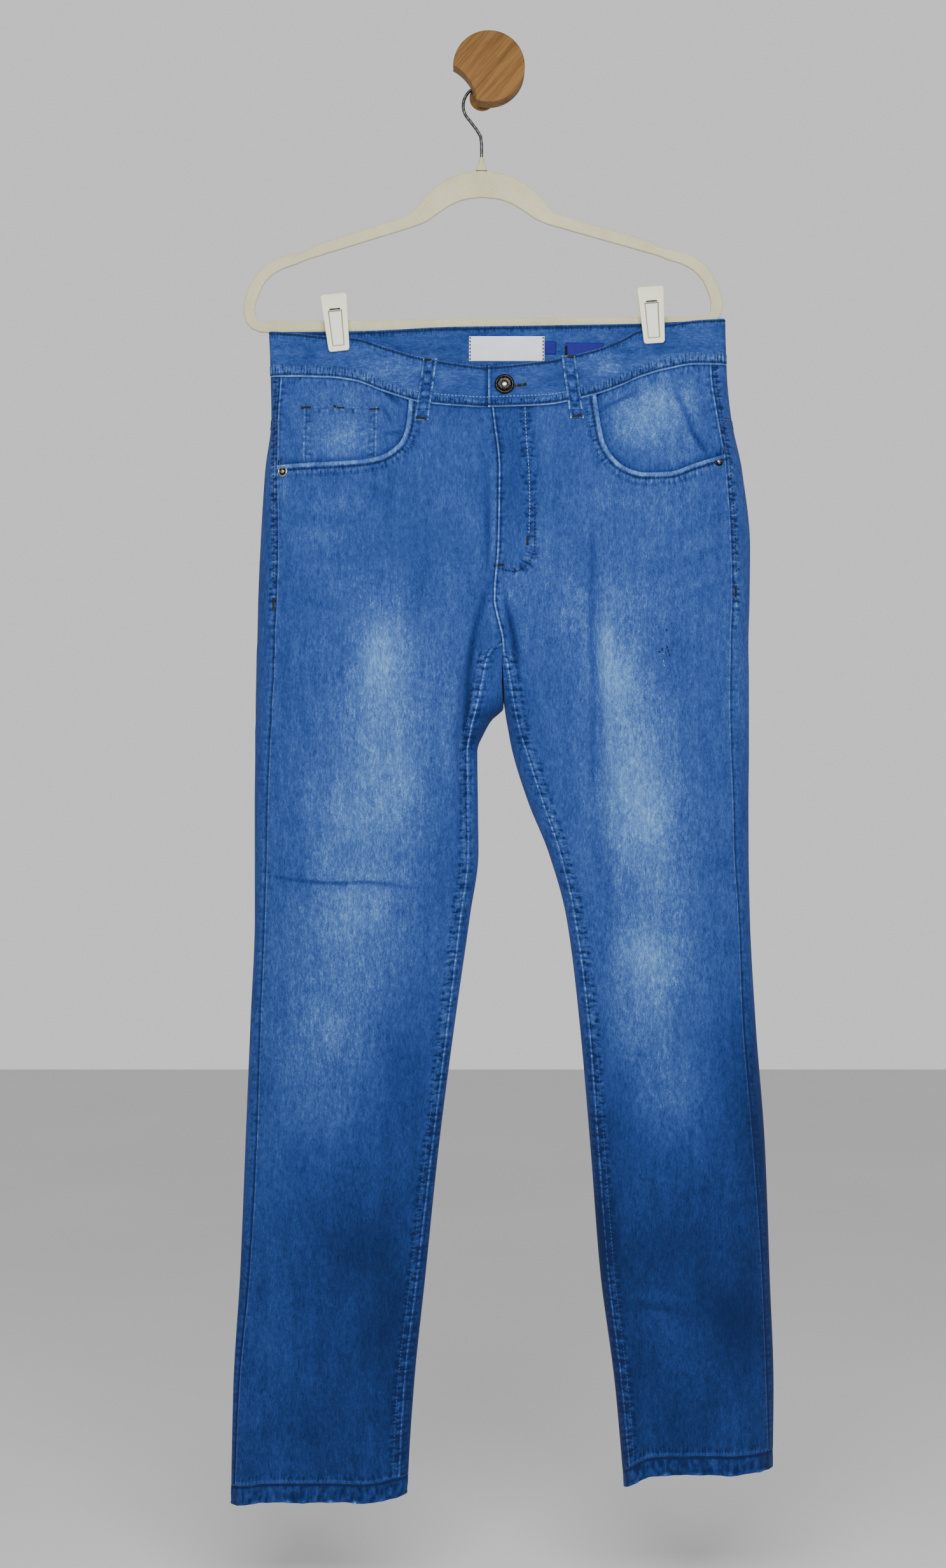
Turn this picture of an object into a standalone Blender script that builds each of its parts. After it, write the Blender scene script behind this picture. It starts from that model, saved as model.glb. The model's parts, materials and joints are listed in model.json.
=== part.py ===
"""Slim fit jeans hung by the waist on a clip hanger, which hangs from a round wooden wall hook.

Lengths below are millimetres, turned into metres where a mesh is made. X runs to the viewer's right, Z up,
and the wall is the plane y = 0 with everything in front of it, at negative y. The origin is the middle of the
peg's flat face on the wall. Left and right are the viewer's.
"""

from bisect import bisect_right
from math import acos, cos, pi, radians, sin, sqrt

import bmesh
import bpy
from mathutils import Matrix, Vector

MM = 0.001

# Cloth
DENIM = 1.2  # one layer
BAND = 1.8  # waistband, folded double
HEM = 2.4  # hem, turned twice
SEAM = 0.3  # space between pieces
BAND_GAP = 0.5  # below the waistband's curved edge

# Where the legs part
CROTCH_Z = -517.0  # front point where the four panels meet
SADDLE_Z = -578.0  # lowest fold of the back panels between the legs
SADDLE_Y = -21.0
SEAT_SEAM_X = 17.0

# Where the clips pinch the waist
CLIP_X = (-135.0, 161.5)
CLIP_HALF = 12.0
PINCHED_FRONT, PINCHED_BACK = -15.6, -10.9
WAIST_EDGE_Y, WAIST_ROUND = -16.0, 5.0
WAIST_SAG = 22.5  # how far the front of the waist stands forward between the clips
WAIST_SIDE = 5.4  # and outside them
PINCH_TOP_Z, PINCH_END_Z = -245.0, -350.0

# Outline of each leg: silhouette, and the two seams that show on the front.
OUTLINE_COLUMNS = ("z", "outer", "inner", "outseam", "inseam")
LEFT_OUTLINE = (
    (-200, -202, 4.5, -190, 4.5),
    (-266, -199, 5.5, -189, 5.5),
    (-308, -198, 10, -191, 10),
    (-356, -203.5, 15, -191, 15),
    (-428, -208, 14, -190, 14),
    (-475, -210, 10.5, -191, 10.5),
    (-517, -211, 18.5, -193, 18.5),
    (-524, -211.5, 18.5, -193, 8.5),
    (-533, -211.7, 18.5, -193.5, 4.5),
    (-550, -212, 18.7, -194, 1),
    (-578, -212.5, 19.8, -196, -5),
    (-589, -212.5, 9, -196, -8),
    (-600, -213, 2.5, -197, -10.5),
    (-618, -213, -4.5, -198, -13.5),
    (-666, -213.5, -4, -200, -13.5),
    (-713, -213.5, -3.5, -201, -13),
    (-773, -213.5, -11.5, -203, -20),
    (-868, -217.5, -25, -207, -31.5),
    (-987, -222.5, -40.5, -211, -46.5),
    (-1107, -227.5, -53, -218, -60.5),
    (-1214, -234, -64, -228, -73),
    (-1330, -236.5, -71, -233, -79),
)
RIGHT_OUTLINE = (
    (-200, 228, 4.5, 214, 4.5),
    (-266, 230, 5.5, 215, 5.5),
    (-308, 234, 10, 220, 10),
    (-356, 243.5, 15, 227, 15),
    (-428, 251, 14, 231.5, 14),
    (-475, 250.5, 10.5, 232.5, 10.5),
    (-517, 249.5, 18.5, 231, 18.5),
    (-524, 249.5, 18.5, 231, 19),
    (-533, 249.7, 18.5, 231, 21.5),
    (-550, 250, 19.5, 230.5, 25),
    (-578, 250, 21, 230.5, 30),
    (-600, 250, 24.5, 231, 35),
    (-618, 250, 28, 231.5, 40.5),
    (-666, 249.5, 43, 233.5, 56),
    (-713, 249.5, 62, 234.5, 72),
    (-773, 250.5, 78.5, 238.5, 86),
    (-868, 255.5, 90.5, 242, 98.5),
    (-987, 264.5, 101, 252, 108),
    (-1107, 269, 110.5, 260.5, 117.5),
    (-1214, 272.5, 125, 264.5, 131),
    (-1330, 271, 135, 267.5, 141),
)

# Depth of each leg: the y of its front, its back and its side edges, and how far the rounding of a side runs in.
DEPTH_COLUMNS = ("z", "front", "back", "edge", "round")
LEFT_DEPTH = (
    (-200, -38, -8, -17, 20),
    (-266, -41, -7, -19, 32),
    (-356, -44, -4, -22, 44),
    (-475, -45, -3.6, -22, 50),
    (-578, -43, -3.6, -21, 55),
    (-713, -42, -3.6, -20, 60),
    (-868, -38, -3.6, -18, 62),
    (-1107, -32, -3.4, -16, 58),
    (-1330, -29, -3.2, -15, 50),
)
RIGHT_DEPTH = (
    (-200, -38, -8, -17, 20),
    (-266, -41, -7, -19, 32),
    (-356, -44, -4, -22, 44),
    (-475, -45, -3.6, -22, 50),
    (-578, -45, -3.6, -21, 58),
    (-713, -48, -3.6, -23, 66),
    (-868, -52, -3.6, -25, 72),
    (-1107, -48, -3.4, -24, 68),
    (-1330, -54, -3.2, -27, 62),
)

# The deepest long folds of the front, as soft troughs.
FOLD_COLUMNS = ("z_top", "x_top", "z_mid", "x_mid", "z_low", "x_low", "half_width", "depth")
FOLDS = (
    (-475, 3, -600, -17.5, -712, -13, 11, 6.5),
    (-392, 5.5, -440, 5.5, -490, -2, 10, 2.5),
    (-405, 104, -610, 106, -840, 116, 13, 5.0),
    (-478, 21, -510, 27, -545, 34, 10, 3.0),
)

# Waistband: its top and bottom edge in front, and its top edge at the back.
FRONT_BAND_COLUMNS = ("x", "top", "seam")
FRONT_BAND = (
    (-203, -224, -267.5),
    (-148, -227.5, -267),
    (-122, -229, -270),
    (-91, -239, -282),
    (-57.5, -250, -293),
    (-19.5, -257.5, -297.5),
    (5, -260, -298.5),
    (56, -254.5, -296.5),
    (105.5, -242, -285),
    (131, -231, -275),
    (149, -221.5, -266.5),
    (172, -216.5, -259.5),
    (198, -214, -255.5),
    (231, -212, -256),
)
BACK_BAND_COLUMNS = ("x", "top")
BACK_BAND = ((-203, -224), (-122, -223), (-20, -218.5), (56, -217.5), (135, -216), (231, -212))
BAND_HEIGHT = 43.5  # at the back
OVERLAP_X = 5.0  # end of the upper layer at the fly
UNDERLAP_DEPTH = 2.3  # how far the lower layer is tucked in there
UNDERLAP_FROM_X, UNDERLAP_FULL_X = -20.0, -1.0

# Mouth of each front pocket, from the waistband to the outseam.
LEFT_MOUTH = (
    (-68.6, -293), (-70, -311), (-74, -327), (-83, -338), (-96, -345), (-112, -348), (-150, -350.5),
    (-191, -352.5),
)
RIGHT_MOUTH = (
    (106, -285), (108.5, -304), (112, -327), (121, -345), (134, -355.5), (150, -360), (172, -359.5),
    (195, -352), (224, -342.5),
)
MORPH_Z = -428.0  # below this the front panels' rows are level

# Yoke seam at the back: height at the outseam and at the middle.
YOKE_SIDE_Z, YOKE_MIDDLE_Z = -308.0, -352.0

LEFT_HEM = {"top": -1304.0, "bottom": -1323.5, "slope": 0.02, "middle": -155.0}
RIGHT_HEM = {"top": -1280.0, "bottom": -1299.0, "slope": 0.125, "middle": 204.0}
LEAN_FROM_Z, LEAN_FULL_Z = -1130.0, -1280.0

BODY_ROWS = (
    -428, -452, -475, -497, -517, -524, -533, -550, -565, -578, -589, -600, -618, -642, -666, -690, -713,
    -743, -773, -820, -868, -928, -987, -1047, -1107, -1160, -1214, -1255,
)


# ---------------------------------------------------------------- curves and tables

def mix(a, b, t):
    return a + (b - a) * t


def clamp(t, low=0.0, high=1.0):
    return max(low, min(high, t))


def smooth(a, b, t):
    """0 at a, 1 at b, with no corner at either end."""
    t = clamp((t - a) / (b - a))
    return t * t * (3 - 2 * t)


def hermite(knots, values, at):
    """A smooth curve through the values that never overshoots them."""
    at = clamp(at, knots[0], knots[-1])
    i = min(bisect_right(knots, at) - 1, len(knots) - 2)
    steps = [knots[k + 1] - knots[k] for k in range(len(knots) - 1)]
    slopes = [(values[k + 1] - values[k]) / steps[k] for k in range(len(steps))]

    def tangent(k):
        if k in (0, len(steps)):
            return slopes[min(k, len(steps) - 1)]
        a, b = slopes[k - 1], slopes[k]
        return 0.0 if a * b <= 0 else 2 * a * b / (a + b)

    t = (at - knots[i]) / steps[i]
    h = steps[i]
    return (
        (1 + 2 * t) * (1 - t) ** 2 * values[i]
        + t * (1 - t) ** 2 * h * tangent(i)
        + t * t * (3 - 2 * t) * values[i + 1]
        + t * t * (t - 1) * h * tangent(i + 1)
    )


class Table:
    """A table read at any height or width between its rows."""

    def __init__(self, columns, rows):
        rows = sorted(rows)
        self.knots = [row[0] for row in rows]
        self.values = {name: [row[i] for row in rows] for i, name in enumerate(columns)}

    def read(self, column, at):
        return hermite(self.knots, self.values[column], at)


def along(points, t):
    """Point of a smooth open curve through the points, t from 0 to 1 by distance."""
    reach = [0.0]
    for a, b in zip(points, points[1:]):
        reach.append(reach[-1] + (Vector(b) - Vector(a)).length)
    return Vector([hermite(reach, [p[i] for p in points], t * reach[-1]) for i in range(len(points[0]))])


# ---------------------------------------------------------------- the worn-in surface of the cloth

front_band = Table(FRONT_BAND_COLUMNS, FRONT_BAND)
back_band = Table(BACK_BAND_COLUMNS, BACK_BAND)


def quarter(t):
    """Rises from 0 to 1 like a quarter of an ellipse."""
    return sqrt(max(0.0, 1 - (1 - clamp(t)) ** 2))


def waist_front(x):
    """Outer face of the front at the waist: close to the back under the clips, forward between and outside them."""
    left, right = CLIP_X[0] + CLIP_HALF, CLIP_X[1] - CLIP_HALF
    if left < x < right:
        return PINCHED_FRONT - WAIST_SAG * sin(pi * (x - left) / (right - left)) ** 1.4
    away = max(CLIP_X[0] - CLIP_HALF - x, x - CLIP_X[1] - CLIP_HALF, 0.0)
    return PINCHED_FRONT - WAIST_SIDE * smooth(0, 30, away)


def fold_depth(x, z):
    total = 0.0
    for row in FOLDS:
        fold = dict(zip(FOLD_COLUMNS, row))
        if not fold["z_low"] < z < fold["z_top"]:
            continue
        line = hermite(
            [fold["z_low"], fold["z_mid"], fold["z_top"]],
            [fold["x_low"], fold["x_mid"], fold["x_top"]],
            z,
        )
        ends = sin(pi * (z - fold["z_low"]) / (fold["z_top"] - fold["z_low"])) ** 0.8
        off = clamp(abs(x - line) / fold["half_width"])
        total += fold["depth"] * ends * (1 + cos(pi * off)) / 2
    return total


class Leg:
    """One half of the jeans. side is -1 on the viewer's left and 1 on the right."""

    def __init__(self, name, side, outline, depth, mouth, hem):
        self.name, self.side, self.mouth, self.hem = name, side, mouth, hem
        self.outline = Table(OUTLINE_COLUMNS, outline)
        self.depth = Table(DEPTH_COLUMNS, depth)

    def line(self, column, z):
        return self.outline.read(column, z)

    def middle(self, face, z):
        """Where this half meets the other, or the leg's inner silhouette."""
        inner = self.line("inner", z)
        if face == "front" or z < SADDLE_Z:
            return inner
        return mix(inner, SEAT_SEAM_X, smooth(SADDLE_Z, SADDLE_Z + 70, z))

    def section(self, z):
        """Front, back and edge depth and the rounding at this height, before the waist is pinched."""
        return [self.depth.read(column, z) for column in ("front", "back", "edge", "round")]

    def surface_y(self, face, x, z):
        front, back, edge, rounding = self.section(z)
        pinch = 1 - smooth(PINCH_TOP_Z, PINCH_END_Z, z)
        face_y = mix(front, waist_front(x), pinch) if face == "front" else mix(back, PINCHED_BACK, pinch)
        side_y = mix(edge, WAIST_EDGE_Y, pinch)
        reach = mix(rounding, WAIST_ROUND, pinch)
        from_outer = self.side * (self.line("outer", z) - x)
        from_middle = self.side * (x - self.middle(face, z))
        y = side_y + (face_y - side_y) * quarter(from_outer / reach)
        if z < CROTCH_Z:
            # Between the crotch point and the saddle the middle sinks from the face to the saddle's fold.
            rise = clamp((z - SADDLE_Z) / (CROTCH_Z - SADDLE_Z))
            sunk = (1 - quarter(rise)) if face == "back" else (1 - rise ** 0.7)
            sharp = smooth(CROTCH_Z, SADDLE_Z, z)
            t = clamp(from_middle / rounding)
            profile = mix(sin(pi * t / 2) ** 2, quarter(t), sharp)
            floor = edge if z < SADDLE_Z else mix(edge, SADDLE_Y, smooth(SADDLE_Z - 10, SADDLE_Z, z))
            y += (floor - face_y) * sunk * (1 - profile)
        if face == "front":
            y += fold_depth(x, z)
        return y

    def leaned(self, x, y, z):
        """The hem isn't level: the leg's lowest part leans with it."""
        lean = self.hem["slope"] * (x - self.hem["middle"])
        return Vector((x, y, z + lean * smooth(LEAN_FROM_Z, LEAN_FULL_Z, z)))

    def front_at(self, x, z):
        return self.leaned(x, self.surface_y("front", x, z), z)

    def back_at(self, x, z):
        return self.leaned(x, self.surface_y("back", x, z), z)

    def front_across(self, s, z):
        """Front surface, s from 0 at the outseam to 1 at the fly or the inseam."""
        end = self.line("inner" if z >= CROTCH_Z else "inseam", z)
        return self.front_at(mix(self.line("outseam", z), end, s), z)

    def around(self, turn, z):
        """The back panel's way round the leg.

        turn 0 is the outseam, 2 the outer silhouette, 5 to 9 the flat back, 12 the seat seam or the inner
        silhouette, and 14 the inseam.
        """
        pinch = 1 - smooth(PINCH_TOP_Z, PINCH_END_Z, z)
        reach = mix(self.depth.read("round", z), WAIST_ROUND, pinch)
        inner_reach = self.depth.read("round", z)
        outer = self.line("outer", z)
        if turn <= 2:
            seam = clamp(self.side * (outer - self.line("outseam", z)) / reach)
            if seam >= 1:
                x = mix(self.line("outseam", z), outer, 1 - cos(pi / 2 * turn / 2) if turn < 2 else 1)
            else:
                x = outer - self.side * reach * (1 - cos(acos(1 - seam) * (1 - turn / 2)))
            return self.leaned(x, self.surface_y("front", x, z), z)
        if turn <= 5:
            x = outer - self.side * reach * (1 - cos(pi / 2 * (turn - 2) / 3))
            return self.leaned(x, self.surface_y("back", x, z), z)
        middle = self.middle("back", z)
        if turn <= 12:
            start = outer - self.side * reach
            end = middle + self.side * inner_reach
            x = (
                mix(start, end, (turn - 5) / 4)
                if turn <= 9
                else middle + self.side * inner_reach * (1 - cos(pi / 2 * (12 - turn) / 3))
            )
            return self.leaned(x, self.surface_y("back", x, z), z)
        middle = self.middle("front", z)
        seam = clamp(self.side * (self.line("inseam", z) - middle) / inner_reach)
        x = middle + self.side * inner_reach * (1 - cos(acos(1 - seam) * (turn - 12) / 2))
        return self.leaned(x, self.surface_y("front", x, z), z)


left_leg = Leg("left", -1, LEFT_OUTLINE, LEFT_DEPTH, LEFT_MOUTH, LEFT_HEM)
right_leg = Leg("right", 1, RIGHT_OUTLINE, RIGHT_DEPTH, RIGHT_MOUTH, RIGHT_HEM)
LEGS = (left_leg, right_leg)


def leg_at(x):
    return right_leg if x > OVERLAP_X else left_leg


def face_at(face, x, z):
    leg = leg_at(x)
    return leg.front_at(x, z) if face == "front" else leg.back_at(x, z)


# ---------------------------------------------------------------- sheets of cloth

def grid_of(place, us, vs, outward):
    """Rows of (point, normal) of place(u, v). outward(point) gives a direction that the normal is turned towards."""
    step = 1e-3
    rows = []
    for v in vs:
        row = []
        for u in us:
            point = place(u, v)
            u_step = step if u + step <= us[-1] or us[0] > us[-1] else -step
            v_step = step if v + step <= max(vs) else -step
            across = (place(u + u_step, v) - point) / u_step
            down = (place(u, v + v_step) - point) / v_step
            normal = across.cross(down).normalized()
            if normal.dot(outward(point)) < 0:
                normal.negate()
            row.append((point, normal))
        rows.append(row)
    return rows


def steps(start, end, count):
    return [mix(start, end, i / count) for i in range(count + 1)]


def pulled(a, b, amount):
    """The grid point a moved towards b along the cloth."""
    return (a[0] + (b[0] - a[0]).normalized() * amount, a[1])


def trim(rows, left=0.0, right=0.0, first=0.0, last=0.0):
    """The grid with its edges drawn in, which leaves the gap along a seam."""
    rows = [list(row) for row in rows]
    if first:
        rows[0] = [pulled(a, b, first) for a, b in zip(rows[0], rows[1])]
    if last:
        rows[-1] = [pulled(a, b, last) for a, b in zip(rows[-1], rows[-2])]
    for row in rows:
        if left:
            row[0] = pulled(row[0], row[1], left)
        if right:
            row[-1] = pulled(row[-1], row[-2], right)
    return rows


def sheet(name, grids, thickness, material, lift=0.0, closed=False):
    """A wall of cloth. Each grid's outer face is its points moved out by lift, and its inner face lies thickness
    further in. Grids that share points become one piece."""
    mesh = bmesh.new()
    normals = {}
    for rows in grids:
        made = []
        for row in rows:
            made.append([])
            for point, normal in row:
                vert = mesh.verts.new((point + normal * lift) * MM)
                normals[vert] = normal
                made[-1].append(vert)
        for upper, lower in zip(made, made[1:]):
            count = len(upper) if closed else len(upper) - 1
            for i in range(count):
                k = (i + 1) % len(upper)
                mesh.faces.new((upper[i], lower[i], lower[k], upper[k]))
    kept = {vert: normal.copy() for vert, normal in normals.items()}
    doubles = bmesh.ops.find_doubles(mesh, verts=mesh.verts[:], dist=1e-7)["targetmap"]
    bmesh.ops.weld_verts(mesh, targetmap=doubles)
    outer = list(mesh.verts)
    outer_faces = list(mesh.faces)
    inner = {vert: mesh.verts.new(vert.co - kept[vert] * thickness * MM) for vert in outer}
    rim = [edge for edge in mesh.edges if edge.is_boundary]
    for edge in rim:
        a, b = edge.verts
        mesh.faces.new((a, b, inner[b], inner[a]))
    for face in outer_faces:
        mesh.faces.new([inner[vert] for vert in reversed(face.verts)])
    bmesh.ops.recalc_face_normals(mesh, faces=mesh.faces[:])
    if mesh.calc_volume(signed=True) < 0:
        bmesh.ops.reverse_faces(mesh, faces=mesh.faces[:])
    return finish(name, mesh, material)


def finish(name, mesh, material, smooth_angle=35):
    data = bpy.data.meshes.new(name)
    bmesh.ops.triangulate(mesh, faces=mesh.faces[:])
    mesh.to_mesh(data)
    mesh.free()
    data.materials.append(material)
    data.shade_smooth()
    data.set_sharp_from_angle(angle=radians(smooth_angle))
    made = bpy.data.objects.new(name, data)
    bpy.context.scene.collection.objects.link(made)
    return made


def material_of(name, colour, roughness, metallic=0.0):
    made = bpy.data.materials.new(name)
    made.use_nodes = True
    shader = made.node_tree.nodes["Principled BSDF"]
    shader.inputs["Base Color"].default_value = (*colour, 1)
    shader.inputs["Roughness"].default_value = roughness
    shader.inputs["Metallic"].default_value = metallic
    return made


# ---------------------------------------------------------------- front, back, yokes and hems

def band_seam(face, x):
    """Height of the waistband's lower edge."""
    return front_band.read("seam", x) if face == "front" else back_band.read("top", x) - BAND_HEIGHT


def leg_outward(leg):
    def outward(point):
        middle_x = (leg.line("outer", point.z) + leg.line("inner", point.z)) / 2
        return Vector((point.x - middle_x, 6 * (point.y - leg.depth.read("edge", point.z)), 0))

    return outward


def forward(point):
    return Vector((0, -1, 0))


def backward(point):
    return Vector((0, 1, 0))


MOUTH_STEPS, TOP_STEPS = 6, 7
MOUTH_SHARE = 0.56  # of the panel's width below the pocket
MORPH_STEPS = 5


def front_panel(leg, material):
    """From the pocket mouth and the waistband down to the hem, with its inner edge along the fly and the inseam."""
    mouth_top_x = leg.mouth[0][0]
    fly_top_x = leg.line("inner", band_seam("front", OVERLAP_X))
    last = MOUTH_STEPS + TOP_STEPS

    def top(column):
        if column < MOUTH_STEPS:
            return along(leg.mouth[::-1], column / MOUTH_STEPS)
        x = mix(mouth_top_x, fly_top_x, (column - MOUTH_STEPS) / TOP_STEPS)
        return Vector((x, band_seam("front", x) - BAND_GAP))

    def share(column):
        if column <= MOUTH_STEPS:
            return MOUTH_SHARE * column / MOUTH_STEPS
        return mix(MOUTH_SHARE, 1, (column - MOUTH_STEPS) / TOP_STEPS)

    def beside_pocket(column, v):
        start = top(column)
        z = mix(start[1], MORPH_Z, v)
        x = mix(start[0], mix(leg.line("outseam", MORPH_Z), leg.line("inseam", MORPH_Z), share(column)), v)
        if column == 0:
            x = leg.line("outseam", z)
        if column == last:
            x = leg.line("inner", z)
        return leg.front_at(x, z)

    columns = range(last + 1)
    upper = [[beside_pocket(c, v) for c in columns] for v in steps(0, 1, MORPH_STEPS)]
    lower = [[leg.front_across(share(c), z) for c in columns] for z in [*BODY_ROWS[1:], leg.hem["top"]]]
    rows = [[(p, front_normal(leg, p)) for p in row] for row in upper + lower]
    return sheet(
        f"front_{leg.name}",
        [trim(rows, left=SEAM / 2, right=SEAM / 2, last=SEAM / 2)],
        DENIM,
        material,
    )


def front_normal(leg, point):
    """Normal of the front surface through a point of it."""
    step = 0.05
    # The point's height before the lean of the hem was added.
    lean = leg.hem["slope"] * (point.x - leg.hem["middle"])
    z = point.z
    for _ in range(4):
        z = point.z - lean * smooth(LEAN_FROM_Z, LEAN_FULL_Z, z)
    x = point.x
    across = leg.front_at(x + step, z) - leg.front_at(x - step, z)
    up = leg.front_at(x, z + step) - leg.front_at(x, z - step)
    return across.cross(up).normalized()


WEB_TOP_Z = {"left": -524, "right": -533}
UNDER_BAND_Z = -262.0  # just below the waistband at the back


def yoke_z(turn):
    """Height of the yoke seam on the way round the leg."""
    return mix(YOKE_SIDE_Z, YOKE_MIDDLE_Z, clamp((turn - 2) / 10))


def back_panel(leg, material):
    """From the yoke round the outer side to the outseam, and below the saddle round the inner side to the inseam."""
    columns = list(range(13))
    web_columns = [12, 13, 14]

    def top_place(turn, v):
        return leg.around(turn, mix(yoke_z(turn), MORPH_Z, v))

    out = leg_outward(leg)
    upper = grid_of(top_place, columns, steps(0, 1, 3), out)
    heights = [*BODY_ROWS[1:], leg.hem["top"]]
    lower = grid_of(leg.around, columns, heights, out)
    rows = trim(upper + lower, left=SEAM / 2, first=SEAM / 2, last=SEAM / 2)
    saddle = len(upper) + heights.index(SADDLE_Z)
    for i in range(saddle):
        rows[i][-1] = pulled(rows[i][-1], rows[i][-2], SEAM / 2)
    fold = (rows[saddle][-1][0], Vector((0, 0, -1)))
    rows[saddle][-1] = fold

    web_top = WEB_TOP_Z[leg.name]
    web_heights = [z for z in heights if z <= web_top]
    web = grid_of(leg.around, web_columns, web_heights, out)
    web = trim(web, right=SEAM / 2, first=SEAM / 2, last=SEAM / 2)
    web_saddle = web_heights.index(SADDLE_Z)
    for i in range(web_saddle):
        web[i][0] = pulled(web[i][0], web[i][1], SEAM / 2)
    for i in range(web_saddle, len(web)):
        web[i][0] = rows[saddle + i - web_saddle][-1]
    return sheet(f"back_{leg.name}", [rows, web], DENIM, material)


def yoke(leg, material):
    """Between the waistband and the back panel, from the outseam to the middle of the back."""

    def place(turn, v):
        under_band_x = leg.around(turn, UNDER_BAND_Z).x
        high = band_seam("front" if turn < 2 else "back", under_band_x) - BAND_GAP
        return leg.around(turn, mix(high, yoke_z(turn), v))

    rows = grid_of(place, list(range(13)), steps(0, 1, 2), leg_outward(leg))
    rows = trim(rows, left=SEAM / 2, right=SEAM / 2, last=SEAM / 2)
    return sheet(f"yoke_{leg.name}", [rows], DENIM, material)


def hem(leg, material):
    """The turned-up end of a leg: a closed ring."""
    front = steps(0, 1, 10)[1:-1]
    turns = [*range(0, 15)]

    def place_row(z):
        row = []
        for turn in turns:
            row.append(leg.around(turn, z))
        for s in reversed(front):
            row.append(leg.front_across(s, z))
        return row

    heights = [leg.hem["top"] - SEAM / 2, leg.hem["bottom"]]
    out = leg_outward(leg)
    rows = []
    for z in heights:
        points = place_row(z)
        count = len(points)
        row = []
        for i, point in enumerate(points):
            across = points[(i + 1) % count] - points[i - 1]
            normal = across.cross(Vector((0, 0, 1))).normalized()
            if normal.dot(out(point)) < 0:
                normal.negate()
            row.append((point, normal))
        rows.append(row)
    return sheet(f"hem_{leg.name}", [rows], HEM, material, closed=True)


# ---------------------------------------------------------------- waistband, pockets, fly and what lies on them

# Where the waistband is measured, from the fly round the back to the fly: x, and degrees on the rounded sides,
# 90 at the flat and 0 at the silhouette.
BAND_FRONT_RIGHT = (5.3, 14, 24, 34, 46, 60, 75, 90, 105, 118, 131, 142, 154, 166, 178, 192, 206)
BAND_BACK = (200, 175, 150, 120, 90, 60, 30, 0, -30, -60, -90, -120, -150, -176)
BAND_FRONT_LEFT = (
    -182, -168, -156, -144, -130, -118, -106, -94, -80, -64, -48, -32, -20, -12, -6, 0, 5, 14, 26, 37,
)
BAND_TURN = (90, 60, 30, 0)
BAND_MIDDLE_Z = -240.0


def waistband(material):
    """One strip from the fly round the back to the fly, its first end laid over its last."""
    stations = [("front", x, None) for x in BAND_FRONT_RIGHT]
    stations += [("front", angle, right_leg) for angle in BAND_TURN]
    stations += [("back", angle, right_leg) for angle in BAND_TURN[::-1]]
    stations += [("back", x, None) for x in BAND_BACK]
    stations += [("back", angle, left_leg) for angle in BAND_TURN]
    stations += [("front", angle, left_leg) for angle in BAND_TURN[1::-1]]
    stations += [("front", x, None) for x in BAND_FRONT_LEFT]
    under_from = len(stations) - len([x for x in BAND_FRONT_LEFT if x > UNDERLAP_FROM_X])

    def spot(station, v):
        face, at, turning = station
        if turning:
            leg = turning
            x = leg.line("outer", BAND_MIDDLE_Z) - leg.side * WAIST_ROUND * (1 - cos(radians(at)))
        else:
            leg, x = leg_at(at), at
        if face == "front":
            top, low = front_band.read("top", x), front_band.read("seam", x)
        else:
            top = back_band.read("top", x)
            low = top - BAND_HEIGHT
        z = mix(top, low, v)
        if turning:
            pinch = 1 - smooth(PINCH_TOP_Z, PINCH_END_Z, z)
            reach = mix(leg.depth.read("round", z), WAIST_ROUND, pinch)
            x = leg.line("outer", z) - leg.side * reach * (1 - cos(radians(at)))
        return Vector((x, leg.surface_y(face, x, z), z))

    rows = []
    for v in (0, 0.5, 1):
        points = [spot(station, v) for station in stations]
        row = []
        for i, point in enumerate(points):
            across = points[min(i + 1, len(points) - 1)] - points[max(i - 1, 0)]
            up = spot(stations[i], max(0, v - 0.1)) - spot(stations[i], min(1, v + 0.1))
            normal = across.cross(up).normalized()
            station = stations[i]
            if i >= under_from:
                point = point - normal * UNDERLAP_DEPTH * smooth(UNDERLAP_FROM_X, UNDERLAP_FULL_X, station[1])
            row.append((point, normal))
        rows.append(row)
    return sheet("waistband", [rows], BAND, material)


def flat_patch(name, face, corners, counts, thickness, lift, material):
    """A piece laid on the front or the back. corners(s, v) gives its x and z."""
    out = forward if face == "front" else backward

    def place(s, v):
        x, z = corners(s, v)
        return face_at(face, x, z)

    rows = grid_of(place, steps(0, 1, counts[0]), steps(0, 1, counts[1]), out)
    return sheet(name, [rows], thickness, material, lift=lift)


FACING_DEPTH = 2.9
COIN_DEPTH = 1.55
FACINGS = {
    "left": {"inner": -52.0, "bottom": -368.0},
    "right": {"inner": 92.0, "bottom": -376.0},
}
COIN = {"left": -166.5, "right": -98.5, "top": -297.5, "bottom": -366.0}


def facing(leg, material):
    """The cloth seen in the pocket mouth. It reaches past the mouth behind the front panel."""
    size = FACINGS[leg.name]

    def corners(s, v):
        x_high = mix(leg.line("outseam", UNDER_BAND_Z), size["inner"], s)
        z = mix(band_seam("front", x_high) - BAND_GAP - SEAM, size["bottom"], v)
        return mix(leg.line("outseam", z), size["inner"], s), z

    return flat_patch(f"pocket_facing_{leg.name}", "front", corners, (8, 6), DENIM, -FACING_DEPTH, material)


def coin_pocket(material):
    def corners(s, v):
        x = mix(COIN["left"], COIN["right"], s)
        top = COIN["top"] - 1.5 * abs(2 * s - 0.8)
        return x, mix(top, COIN["bottom"], v)

    return flat_patch("coin_pocket", "front", corners, (6, 4), 1.0, -COIN_DEPTH, material)


BACK_POCKET = {"top": -368.0, "side": -492.0, "tip": -512.0, "width_top": 146.0, "width_low": 126.0}
BACK_POCKET_X = {"left": -84.0, "right": 120.0}


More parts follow.
